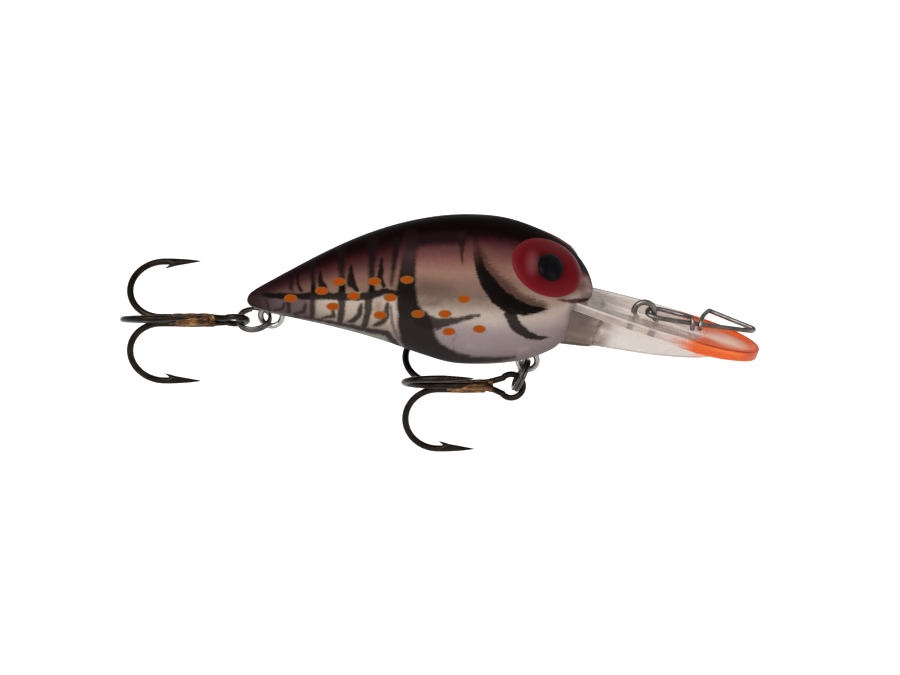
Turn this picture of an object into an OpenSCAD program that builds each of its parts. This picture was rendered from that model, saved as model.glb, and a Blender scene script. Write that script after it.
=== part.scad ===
// Crankbait lure with a long diving lip, two treble hooks on split rings and a wire snap.
// Millimetres. The origin is the centre of the line tie's eye, +X runs forward past the lip,
// +Y to the lure's left and +Z up through its back.

/* [Body] */
// Length of the hollow body from nose to tail
body_len = 51.1; // [50:0.1:52]
// Greatest width of the body
body_w = 20.9; // [20:0.1:21.5]
// Wall of the two moulded halves
wall = 1.2; // [1:0.1:1.4]

/* [Lip] */
// Slope of the lip below the horizontal, in degrees
lip_slope = 17; // [15:1:19]
// Greatest width of the lip
lip_w = 15.2; // [14:0.2:16]
// Thickness of the lip's floor between its raised rims
lip_floor_t = 0.9; // [0.8:0.1:1.1]
// Height of the rims above the floor
lip_rim_h = 0.35; // [0.3:0.05:0.4]

/* [Wire fittings] */
// Diameter of the wire in the line tie and the hook hangers
hanger_wire = 0.9; // [0.8:0.05:0.95]
// Diameter of the split ring's wire
ring_wire = 0.55; // [0.5:0.05:0.6]
// Radius of a split ring to the middle of its wire
ring_r = 2.4; // [2.3:0.05:2.45]
// Diameter of the snap's wire
snap_wire = 0.72; // [0.65:0.01:0.75]

/* [Treble hooks] */
// Diameter of the hook wire
hook_wire = 0.95; // [0.9:0.01:1]
// Distance from the shank's axis to the point's axis
hook_gape = 10.35; // [10:0.05:10.6]
// Distance from the eye's centre to the back of the bend, on the wire's axis
hook_len = 15.9; // [15.5:0.1:16.3]

/* [Eyes and inner parts] */
// Diameter of the coloured eye disc
eye_d = 10.6; // [10:0.1:11]
// Diameter of the domed pupil
pupil_d = 4.1; // [3.6:0.1:4.4]
// Diameter of a rattle ball
ball_d = 3.6; // [3:0.1:3.8]

/* [Hidden] */

nose_x = -7.65;
nominal_len = 51.1;
nominal_half_w = 10.45;
// Cross-sections of the body: distance behind the nose, back, belly, half width
body_rows = [
    [0.0, 4.1, 3.5, 0.4], [0.3, 5.3, 2.7, 2.3], [0.9, 6.7, 1.9, 4.2], [1.8, 8.1, 0.5, 5.8],
    [2.9, 9.4, -1.6, 7.1], [4.1, 10.5, -3.7, 8.15], [6.5, 12.05, -5.3, 9.45],
    [9.4, 13.4, -6.5, 10.2], [12.8, 14.5, -7.15, 10.45], [16.5, 15.0, -7.4, 10.3],
    [21.0, 15.0, -7.2, 9.75], [25.6, 14.4, -5.85, 8.85], [30.4, 13.25, -4.15, 7.6],
    [35.2, 11.5, -2.7, 6.2], [40.0, 9.25, -1.5, 4.75], [44.6, 6.75, -0.5, 3.25],
    [47.5, 5.1, 0.1, 2.2], [49.6, 3.9, 0.75, 1.45], [50.7, 3.05, 1.25, 0.85],
    [51.1, 2.3, 1.8, 0.3]];
row_steps = 2;
body_sides = 32;
cavity_sides = 24;
// Corner and size of the block that one half of the body is cut from
block_corner = [-70, -20];
block_size = [80, 20, 50];

lip_root_s = -13.5;
lip_tip_s = 18.1;
lip_root_half = 4.6;
// How far the tops of the lip's rims lie below the line tie's centre
lip_drop = 0.14;
rim_w = 0.9;

belly_eye = [-17.2, 0, -7.55];
belly_ring_tilt = 24;
tail_eye = [-55.2, 0, -0.55];
tail_ring_pivot = [-55.4, 0, -0.85];
tail_ring_roll = 25;
tail_ring_dip = 5;
belly_loop_r = 1.4;
tail_loop_r = 1.6;
inner_loop_r = 1.25;
belly_loop_up = [0, 0, 2.9];
tail_loop_up = [1.9, 0, 2.2];
belly_boss_z = -4.7;
boss_r = 2.5;
tie_r = 1.5;

hook_eye_r = 1.78;
hook_eye_roll = 15;
wire_spread = hook_wire / sqrt(3);
shank_start = 4.3;
belly_roll = 54;
tail_roll = 48;
braze_back = -10;
braze_len = 5.5;
braze_skin = 0.1;
// Where the ring's wire lies inside each treble's eye, from the eye's centre
belly_seat = [0.45, 0, -0.4];
tail_seat = [0.45, 0, 0];
bronze = [0.13, 0.11, 0.1];
brown = [0.45, 0.3, 0.15];

eye_pos = [-13.75, 6.36, 9.5];
eye_dir = [0.45, 0.59, 0.67];
// The head round the eyes is close to a ball with this centre; the eyes stand proud of it
head_centre = [-18.6, 0, 2.3];
eye_growth = 1.03;
eye_back_r = 9.2;
pupil_seat = -0.3;

// Places on the side view of the two locating pins, and their sizes
pin_spots = [[-44.5, 3.9], [-24, 9.5]];
post_r = 1.5;
pin_r = 0.8;
pin_len = 1.6;
pin_clear = 0.05;

ballast_pos = [-33.2, 0, -0.4];
ballast_d = 4.4;
ballast_len = 9;
cup_wall = 0.9;
cup_mouth = 2.6;

// The two rattle chambers lie between these ribs, either side of the seam rib
chamber_x = [-28.4, -20.5];
chamber_top = 0.6;
rib_foot = -8;
rib_t = 0.9;
ball_pos = [-24.45, 2.9, -3.1];

snap_pivot = [0.5, 0, 0.05];
snap_dip = 10;
snap_roll = 20;

// ---- Curves and lofts ----

function cubic(a, b, c, d, t) = 0.5 * (2 * b + (c - a) * t
    + (2 * a - 5 * b + 4 * c - d) * t * t + (3 * b - a - 3 * c + d) * t * t * t);

function smooth(p, steps) = let (n = len(p) - 1) concat(
    [for (i = [0:n - 1], k = [0:steps - 1])
        cubic(p[max(i - 1, 0)], p[i], p[i + 1], p[min(i + 2, n)], k / steps)],
    [p[n]]);

function unit(v) = v / norm(v);

function tangent(p, i) = unit(p[min(i + 1, len(p) - 1)] - p[max(i - 1, 0)]);

// A direction square to the path at each point, carried along it without twisting
function side_vectors(p, first) = [for (i = 0, t = tangent(p, 0),
    s = unit(first - (first * t) * t); i < len(p); i = i + 1,
    t = tangent(p, min(i, len(p) - 1)), s = unit(s - (s * t) * t)) s];

// A round wire along a path, with its radius at each point
module wire_along(p, radii, sides = 10, first = [0.3, 1, 0.2]) {
    side = side_vectors(p, first);
    n = len(p);
    rings = [for (i = [0:n - 1]) let (t = tangent(p, i), u = side[i], v = cross(t, u))
        for (k = [0:sides - 1]) p[i] + radii[i] * (cos(360 * k / sides) * u
            + sin(360 * k / sides) * v)];
    walls = [for (i = [0:n - 2], k = [0:sides - 1]) let (a = i * sides + k,
        b = i * sides + (k + 1) % sides) [a, a + sides, b + sides, b]];
    polyhedron(rings, concat(walls, [[for (k = [0:sides - 1]) k],
        [for (k = [sides - 1:-1:0]) (n - 1) * sides + k]]), convexity = 8);
}

module plain_wire(p, d, sides = 10, first = [0.3, 1, 0.2])
    wire_along(p, [for (q = p) d / 2], sides, first);

// ---- Body ----

function scaled_row(r) = [nose_x - r[0] * body_len / nominal_len, r[1], r[2],
    r[3] * body_w / 2 / nominal_half_w];

outer_rows = [for (r = smooth(body_rows, row_steps)) scaled_row(r)];
inner_rows = [for (r = [for (q = body_rows) scaled_row(q)])
    if (r[3] > wall + 1 && r[1] - r[2] > 2 * wall + 2)
        [r[0], r[1] - wall, r[2] + wall, r[3] - wall]];

// A closed loft of oval sections; no corner of a section lies on the seam plane
module loft(rows, sides) {
    n = len(rows);
    points = [for (r = rows, k = [0:sides - 1]) let (t = 360 * (k + 0.5) / sides)
        [r[0], r[3] * sin(t), (r[1] + r[2]) / 2 + (r[1] - r[2]) / 2 * cos(t)]];
    walls = [for (i = [0:n - 2], k = [0:sides - 1]) let (a = i * sides + k,
        b = i * sides + (k + 1) % sides) [a, a + sides, b + sides, b]];
    polyhedron(points, concat(walls, [[for (k = [0:sides - 1]) k],
        [for (k = [sides - 1:-1:0]) (n - 1) * sides + k]]), convexity = 4);
}

module at_eye(side) {
    d = [eye_dir[0], side * eye_dir[1], eye_dir[2]];
    translate([eye_pos[0], side * eye_pos[1], eye_pos[2]])
        rotate([0, acos(d[2] / norm(d)), atan2(d[1], d[0])]) children();
}

// A round bar across the body, from the seam outwards on one side
module cross_bar(p, r, from, to, side) translate([p[0], side * from, p[1]])
    rotate([-90 * side, 0, 0]) cylinder(r = r, h = to - from, $fn = 48);

// Everything moulded inside one half: posts, the hanger's boss, ribs and the ballast's cup
module inner_mouldings(side) {
    reach = body_w / 2;
    for (p = pin_spots) cross_bar(p, post_r, 0, reach, side);
    cross_bar([belly_eye[0], belly_boss_z], boss_r, 0, reach, side);
    difference() {
        cross_bar([ballast_pos[0], ballast_pos[2]], ballast_d / 2 + cup_wall, cup_mouth, reach, side);
        cross_bar([ballast_pos[0], ballast_pos[2]], ballast_d / 2 + pin_clear, cup_mouth - 1,
            ballast_len / 2 + pin_clear, side);
    }
    for (x = chamber_x) translate([x - rib_t / 2, side > 0 ? 0 : -reach, rib_foot])
        cube([rib_t, reach, chamber_top - rib_foot]);
    translate([chamber_x[0], side > 0 ? 0 : -rib_t / 2, rib_foot])
        cube([chamber_x[1] - chamber_x[0], rib_t / 2, chamber_top - rib_foot]);
}

// A square-sided channel for a hanger's wire, open at the seam
module loop_channel(p, r) translate(p) rotate([90, 0, 0]) difference() {
    cylinder(r = r + hanger_wire / 2 + 0.02, h = hanger_wire + 0.04, center = true, $fn = 48);
    cylinder(r = r - hanger_wire / 2 - 0.02, h = hanger_wire + 0.1, center = true, $fn = 48);
}

module hanger_channel(eye, r, up) {
    loop_channel(eye, r);
    loop_channel(eye + up, inner_loop_r);
}

module shell(side) {
    difference() {
        intersection() {
            loft(outer_rows, body_sides);
            union() {
                difference() {
                    translate([block_corner[0], side > 0 ? 0 : -block_size[1], block_corner[1]])
                        cube(block_size);
                    loft(inner_rows, cavity_sides);
                }
                inner_mouldings(side);
            }
        }
        at_eye(side) translate([0, 0, -4]) cylinder(d = eye_d, h = 8, $fn = 64);
        lip_slot();
        hanger_channel(belly_eye, belly_loop_r, belly_loop_up);
        hanger_channel(tail_eye, tail_loop_r, tail_loop_up);
        if (side < 0) for (p = pin_spots)
            cross_bar(p, pin_r + pin_clear, -1, pin_len + 0.3, side);
    }
    if (side > 0) for (p = pin_spots) cross_bar(p, pin_r, -pin_len, 1, side);
}

module shell_right() { color([0.42, 0.30, 0.30]) shell(-1); }
module shell_left() { color([0.42, 0.30, 0.30]) shell(1); }

// ---- Eyes ----

module eye(side) difference() {
    intersection() {
        translate(head_centre) scale(eye_growth) translate(-head_centre)
            loft(outer_rows, body_sides);
        at_eye(side) translate([0, 0, -4]) cylinder(d = eye_d, h = 8, $fn = 64);
    }
    translate(head_centre) sphere(r = eye_back_r, $fn = 96);
    at_eye(side) translate([0, 0, pupil_seat]) cylinder(d = pupil_d, h = 3, $fn = 48);
}

module pupil(side) {
    dome_r = 2.6;
    dome_top = 1.05;
    at_eye(side) intersection() {
        translate([0, 0, dome_top - dome_r]) sphere(r = dome_r, $fn = 64);
        translate([0, 0, pupil_seat]) cylinder(d = pupil_d, h = 3, $fn = 48);
    }
}

module eye_right() { color([0.55, 0.06, 0.09]) eye(-1); }
module eye_left() { color([0.55, 0.06, 0.09]) eye(1); }
module pupil_right() { color([0.02, 0.02, 0.02]) pupil(-1); }
module pupil_left() { color([0.02, 0.02, 0.02]) pupil(1); }

// ---- Lip ----

// Half width of the lip along its length, measured forward from the line tie
function lip_half(s) = let (full = lip_w / 2) s < 1
    ? full - (full - 5.6) * pow((1 - s) / 11, 1.4)
    : full * pow(max(0, 1 - pow((s - 1) / (lip_tip_s - 1), 3.4)), 0.5);

lip_front_s = [-10, -8, -6, -4, -2, 0, 3, 6, 9, 11, 12.5, 14, 15.2, 16.2, 17, 17.6, 17.95, 18.1];

function lip_outline(inset) = let (
    side = [for (s = lip_front_s) [min(s, lip_tip_s - inset),
        max(0.01, lip_half(s) - inset)]])
    concat([[lip_root_s, lip_root_half - inset]], side, [for (i = [len(side) - 2:-1:0])
        [side[i][0], -side[i][1]]], [[lip_root_s, inset - lip_root_half]]);

// Turns a shape drawn flat into the lip's own slope, standing on the underside of its plate
module on_lip() rotate([0, lip_slope, 0])
    translate([0, 0, -lip_drop - lip_rim_h - lip_floor_t]) children();

module lip_plate() on_lip() difference() {
    linear_extrude(lip_floor_t + lip_rim_h) polygon(lip_outline(0));
    translate([0, 0, lip_floor_t]) linear_extrude(3) intersection() {
        polygon(lip_outline(rim_w));
        translate([-8.6, -20]) square([40, 40]);
    }
}

// A slice of the keel under the lip: place along the lip, depth and half width at the top
module keel_slice(s, depth, top_half, foot_half) translate([s, 0, 0]) rotate([90, 0, 90])
    linear_extrude(0.1) polygon([[-top_half, 0], [top_half, 0], [foot_half, -depth],
        [-foot_half, -depth]]);

// The thick root of the keel, which goes into the body
module keel_root() hull() {
    keel_slice(lip_root_s + 1, 6.6, 3.6, 1.6);
    keel_slice(-6, 5.2, 3.2, 1.2);
}

module keel() on_lip() {
    keel_root();
    hull() {
        keel_slice(-6, 5.2, 3.2, 1.2);
        keel_slice(4, 3.6, 1.4, 0.7);
        keel_slice(15.5, 0.4, 0.7, 0.4);
    }
}

// The opening in the two halves that the lip's root and keel are bonded into
module lip_slot() on_lip() {
    linear_extrude(lip_floor_t + lip_rim_h) polygon(lip_outline(0));
    keel_root();
}

module diving_lip() {
    color([0.86, 0.83, 0.80, 0.6]) difference() {
        union() { lip_plate(); keel(); }
        tie_wire();
    }
}

// ---- Wire fittings ----

// An arch standing in the lip, its two legs running down into the keel
tie_path = concat([[-tie_r, 0, -3.2]], [for (a = [180:-15:0]) [tie_r * cos(a), 0, tie_r * sin(a)]],
    [[tie_r, 0, -3.4]]);

module tie_wire() plain_wire(tie_path, hanger_wire, 12, [0, 1, 0]);

module line_tie() { color("silver") tie_wire(); }

// A figure-eight of wire: one loop hangs outside, the other is locked round a moulded post
module hanger(eye, r, up) translate(eye) rotate([90, 0, 0]) {
    rotate_extrude($fn = 48) translate([r, 0]) circle(d = hanger_wire, $fn = 24);
    translate([up[0], up[2]]) rotate_extrude($fn = 48) translate([inner_loop_r, 0])
        circle(d = hanger_wire, $fn = 24);
}

module belly_hanger() { color("silver") hanger(belly_eye, belly_loop_r, belly_loop_up); }
module tail_hanger() { color("silver") hanger(tail_eye, tail_loop_r, tail_loop_up); }

// Two turns of wire side by side, its first crossing at the origin and its body along -X
module split_ring() translate([-ring_r, 0, 0]) rotate_extrude($fn = 64) union() {
    for (z = [-1, 1]) translate([ring_r, z * (ring_wire / 2 - 0.02)])
        circle(d = ring_wire, $fn = 24);
}

module on_belly_ring() translate(belly_eye) rotate([0, belly_ring_tilt - 90, 0]) children();
module on_tail_ring() translate(tail_ring_pivot) rotate([0, -tail_ring_dip, 0])
    rotate([tail_ring_roll, 0, 0]) children();

module belly_split_ring() { color([0.45, 0.42, 0.40]) on_belly_ring() split_ring(); }
module tail_split_ring() { color([0.45, 0.42, 0.40]) on_tail_ring() split_ring(); }

// The snap is one wire, drawn in its own plane: a along its length, b across it, c above it
snap_path = smooth([
    [6.85, -1.95, -0.45], [6.75, -1.55, 0.25], [6.6, -0.9, 0.74], [6.1, -0.2, 0.5],
    [4.6, 0.6, 0.1], [2.2, 1.1, 0], [0.75, 1.0, 0], [0.1, 0.55, 0], [-0.02, 0, 0],
    [0.1, -0.55, 0], [0.75, -1.0, 0], [2.2, -1.15, 0], [6, -1.05, 0], [11, -0.75, 0],
    [15.2, -0.45, 0], [16.0, -0.1, 0], [15.9, 0.3, 0], [15.2, 0.6, 0], [12.5, 1.65, 0],
    [9.9, 2.55, 0.1], [9.3, 2.45, 0.3], [8.7, 1.3, 0.6], [8.2, 0.0, 0.85],
    [7.95, -0.95, 0.74], [7.9, -1.6, 0.2], [7.95, -1.75, -0.35]], 3);

module duo_snap() {
    color([0.62, 0.60, 0.58]) translate(snap_pivot) rotate([0, snap_dip, 0])
        rotate([snap_roll, 0, 0]) plain_wire(snap_path, snap_wire, 8, [0, 0, 1]);
}

// ---- Treble hooks ----

bend_r = (hook_gape - wire_spread) / 2;
bend_x = bend_r - hook_len;
point_len = 5.4;
point_taper = 3.6;

// The wire of one hook in its own plane, from the shank's front to the tip
hook_path = concat([[-shank_start, wire_spread], [bend_x, wire_spread]],
    [for (a = [-105:-15:-255]) [bend_x + bend_r * cos(a), wire_spread + bend_r + bend_r * sin(a)]],
    [[bend_x, hook_gape], [bend_x + point_len - point_taper, hook_gape],
    [bend_x + point_len, hook_gape]]);
hook_radii = [for (i = [0:len(hook_path) - 1]) i == len(hook_path) - 1 ? 0.05 : hook_wire / 2];

function spoke(p, roll) = [p[0], p[1] * sin(roll), p[1] * cos(roll)];

// The eye's loop from one shank wire round to the other
function eye_loop(roll, from, to) = let (turn = roll + hook_eye_roll, open = 38)
    concat([spoke([-3.4, wire_spread + 0.05], from)],
        [for (a = [180 - open:-15:open - 180])
            spoke([hook_eye_r * cos(a), hook_eye_r * sin(a)], turn)],
        [spoke([-3.4, wire_spread + 0.05], to)]);

// A barb cut back from the point, on the inside of the bend
module barb(roll) rotate([-roll, 0, 0])
    translate([bend_x + point_len - point_taper + 0.75, 0, hook_gape - 0.05])
    rotate([0, -113, 0]) cylinder(r1 = 0.3, r2 = 0.04, h = 1.25, $fn = 16);

module single_hook(roll) {
    path = [for (p = hook_path) spoke(p, roll)];
    wire_along(path, hook_radii, 10, spoke([0, 1], roll + 90));
    barb(roll);
}

// Two hooks made from one wire that loops forward into the eye between them
module double_hook(roll) {
    one = roll + 120;
    two = roll - 120;
    last = len(hook_path) - 1;
    first_half = [for (i = [last:-1:0]) spoke(hook_path[i], one)];
    second_half = [for (p = hook_path) spoke(p, two)];
    path = concat(first_half, eye_loop(roll, one, two), second_half);
    radii = concat([for (i = [last:-1:0]) hook_radii[i]],
        [for (p = eye_loop(roll, one, two)) hook_wire / 2], hook_radii);
    wire_along(path, radii, 10, spoke([0, 1], one + 90));
    barb(one);
    barb(two);
}

// Bronze run between the three shank wires behind the eye
module braze(roll) {
    rotate([-roll, 0, 0]) translate([braze_back, 0, 0]) rotate([90, 0, 90])
        linear_extrude(braze_len) difference() {
            hull() for (a = [90, 210, 330]) rotate(a) translate([wire_spread, 0])
                circle(d = hook_wire + 2 * braze_skin, $fn = 32);
            for (a = [90, 210, 330]) rotate(a) translate([wire_spread, 0])
                circle(d = hook_wire + 0.04, $fn = 32);
            circle(r = wire_spread / 2, $fn = 32);
        }
}

function ring_end(pivot, tilt) = pivot + 2 * ring_r * [-sin(tilt), 0, -cos(tilt)];
module on_belly_treble() translate(ring_end(belly_eye, belly_ring_tilt) - belly_seat) children();
module on_tail_treble() translate(ring_end(tail_ring_pivot, 90 - tail_ring_dip) - tail_seat)
    children();

module belly_double_hook() { color(bronze) on_belly_treble() double_hook(belly_roll + 120); }
module belly_single_hook() { color(bronze) on_belly_treble() single_hook(belly_roll + 120); }
module belly_braze() { color(brown) on_belly_treble() braze(belly_roll); }
module tail_double_hook() { color(bronze) on_tail_treble() double_hook(tail_roll - 120); }
module tail_single_hook() { color(bronze) on_tail_treble() single_hook(tail_roll - 120); }
module tail_braze() { color(brown) on_tail_treble() braze(tail_roll); }

// ---- Inner parts ----

module ballast_weight() {
    color([0.35, 0.36, 0.38]) translate(ballast_pos) rotate([90, 0, 0])
        cylinder(d = ballast_d, h = ballast_len, center = true, $fn = 48);
}

module rattle_ball(side) translate([ball_pos[0], side * ball_pos[1], ball_pos[2]])
    sphere(d = ball_d, $fn = 48);
module rattle_ball_right() { color("silver") rattle_ball(-1); }
module rattle_ball_left() { color("silver") rattle_ball(1); }

shell_right();
shell_left();
diving_lip();
line_tie();
belly_hanger();
tail_hanger();
ballast_weight();
eye_right();
eye_left();
pupil_right();
pupil_left();
rattle_ball_right();
rattle_ball_left();
belly_split_ring();
belly_double_hook();
belly_single_hook();
belly_braze();
tail_split_ring();
tail_double_hook();
tail_single_hook();
tail_braze();
duo_snap();
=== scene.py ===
"""Crankbait lure: the detailed meshes, procedural materials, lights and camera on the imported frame."""

import math

import bmesh
import bpy
import numpy as np
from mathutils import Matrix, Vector


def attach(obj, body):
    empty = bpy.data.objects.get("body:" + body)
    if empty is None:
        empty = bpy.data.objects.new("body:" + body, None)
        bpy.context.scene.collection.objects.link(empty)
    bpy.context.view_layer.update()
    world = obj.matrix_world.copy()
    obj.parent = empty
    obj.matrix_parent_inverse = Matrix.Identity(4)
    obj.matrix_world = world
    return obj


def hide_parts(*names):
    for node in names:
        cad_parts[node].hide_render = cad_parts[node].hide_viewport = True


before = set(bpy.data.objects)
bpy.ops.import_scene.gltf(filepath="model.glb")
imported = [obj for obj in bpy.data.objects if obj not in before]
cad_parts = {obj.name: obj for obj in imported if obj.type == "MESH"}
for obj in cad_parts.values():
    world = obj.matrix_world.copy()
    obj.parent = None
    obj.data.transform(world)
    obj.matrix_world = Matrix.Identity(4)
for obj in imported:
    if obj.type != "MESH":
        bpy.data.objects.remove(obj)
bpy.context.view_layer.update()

MM = 0.001
scene = bpy.context.scene


# ---- Vectors and curves, all in millimetres ----

def unit(v):
    v = np.asarray(v, float)
    return v / np.linalg.norm(v)


def turned_x(p, degrees):
    c, s = math.cos(math.radians(degrees)), math.sin(math.radians(degrees))
    return np.asarray(p, float) @ np.array([[1, 0, 0], [0, c, s], [0, -s, c]])


def turned_y(p, degrees):
    c, s = math.cos(math.radians(degrees)), math.sin(math.radians(degrees))
    return np.asarray(p, float) @ np.array([[c, 0, -s], [0, 1, 0], [s, 0, c]])


def smooth(points, steps):
    """A Catmull-Rom curve through the points, whose ends are doubled."""
    p = np.asarray(points, float)
    p = np.vstack([p[0], p, p[-1]])
    out = []
    for i in range(1, len(p) - 2):
        a, b, c, d = p[i - 1], p[i], p[i + 1], p[i + 2]
        for k in range(steps):
            t = k / steps
            out.append(0.5 * (2 * b + (c - a) * t + (2 * a - 5 * b + 4 * c - d) * t * t
                              + (3 * b - a - 3 * c + d) * t ** 3))
    out.append(p[-2])
    return np.array(out)


def clock(n):
    """Angles evenly round a circle."""
    return np.linspace(0, 2 * math.pi, n, endpoint=False)


def smoothstep(lo, hi, x):
    t = np.clip((np.asarray(x, float) - lo) / (hi - lo), 0, 1)
    return t * t * (3 - 2 * t)


# ---- Meshes ----

def make_piece(name, parts, material, sharp=None):
    """One object from several closed surfaces, each a pair (points in mm, faces)."""
    points, faces = [], []
    for pts, quads in parts:
        base = sum(len(p) for p in points)
        points.append(np.asarray(pts, float))
        faces += [[base + i for i in f] for f in quads]
    mesh = bpy.data.meshes.new(name)
    mesh.from_pydata((np.vstack(points) * MM).tolist(), [], faces)
    mesh.validate()
    outward = bmesh.new()
    outward.from_mesh(mesh)
    bmesh.ops.recalc_face_normals(outward, faces=outward.faces)
    outward.to_mesh(mesh)
    outward.free()
    mesh.materials.append(material)
    mesh.polygons.foreach_set("use_smooth", [True] * len(mesh.polygons))
    if sharp is not None:
        mesh.set_sharp_from_angle(angle=math.radians(sharp))
    obj = bpy.data.objects.new(name, mesh)
    scene.collection.objects.link(obj)
    return obj


def closed_tube(first, rings, last):
    """A closed surface over rings of points, from one tip to the other."""
    sides = len(rings[0])
    faces = []
    for i in range(len(rings) - 1):
        for k in range(sides):
            a, b = 1 + i * sides + k, 1 + i * sides + (k + 1) % sides
            faces.append([a, b, b + sides, a + sides])
    end = 1 + len(rings) * sides
    for k in range(sides):
        j = (k + 1) % sides
        faces.append([0, 1 + j, 1 + k])
        faces.append([end, end - sides + k, end - sides + j])
    return np.vstack([[first], *rings, [last]]), faces


def path_frames(p, first):
    """Tangent and two side directions at each point, carried along without twisting."""
    t = np.gradient(p, axis=0)
    t /= np.linalg.norm(t, axis=1)[:, None]
    u = unit(np.asarray(first, float) - np.dot(first, t[0]) * t[0])
    us = []
    for ti in t:
        u = unit(u - np.dot(u, ti) * ti)
        us.append(u)
    us = np.array(us)
    return t, us, np.cross(t, us)


def wire(path, radius, first=(0, 0, 1), sides=16, closed=False, cap=0.5):
    """A round wire along a path, with slightly rounded cut ends."""
    p = np.asarray(path, float)
    n = len(p)
    r = np.full(n, radius, float) if np.isscalar(radius) else np.asarray(radius, float)
    t, u, v = path_frames(p, first)
    angle = clock(sides)
    ring = np.cos(angle)[None, :, None] * u[:, None, :] + np.sin(angle)[None, :, None] * v[:, None, :]
    if closed:
        pts = (p[:, None, :] + r[:, None, None] * ring).reshape(-1, 3)
        faces = []
        for i in range(n):
            j = (i + 1) % n
            for k in range(sides):
                m = (k + 1) % sides
                faces.append([i * sides + k, i * sides + m, j * sides + m, j * sides + k])
        return pts, faces
    body = [p[0] - t[0] * cap * r[0] * 0.9 + ring[0] * r[0] * 0.7,
            p[0] - t[0] * cap * r[0] * 0.45 + ring[0] * r[0] * 0.93]
    body += [p[i] + ring[i] * r[i] for i in range(n)]
    body += [p[-1] + t[-1] * cap * r[-1] * 0.45 + ring[-1] * r[-1] * 0.93,
             p[-1] + t[-1] * cap * r[-1] * 0.9 + ring[-1] * r[-1] * 0.7]
    return closed_tube(p[0] - t[0] * cap * r[0], body, p[-1] + t[-1] * cap * r[-1])


def lathe(profile, axis, at, sides=48):
    """A closed turned piece. The profile is (distance along the axis, radius), tip to tip."""
    axis = unit(axis)
    u = unit(np.cross(axis, [0.3, 0.9, 0.2]))
    v = np.cross(axis, u)
    angle = clock(sides)
    ring = np.cos(angle)[:, None] * u + np.sin(angle)[:, None] * v
    body = [np.asarray(at) + axis * h + ring * r for h, r in profile[1:-1]]
    return closed_tube(np.asarray(at) + axis * profile[0][0], body, np.asarray(at) + axis * profile[-1][0])


# ---- Node materials ----

def shade(r, g, b):
    """A colour seen as these 8-bit values, as Blender wants it."""
    out = []
    for v in (r, g, b):
        v /= 255
        out.append(v / 12.92 if v <= 0.04045 else ((v + 0.055) / 1.055) ** 2.4)
    return (*out, 1.0)


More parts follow.
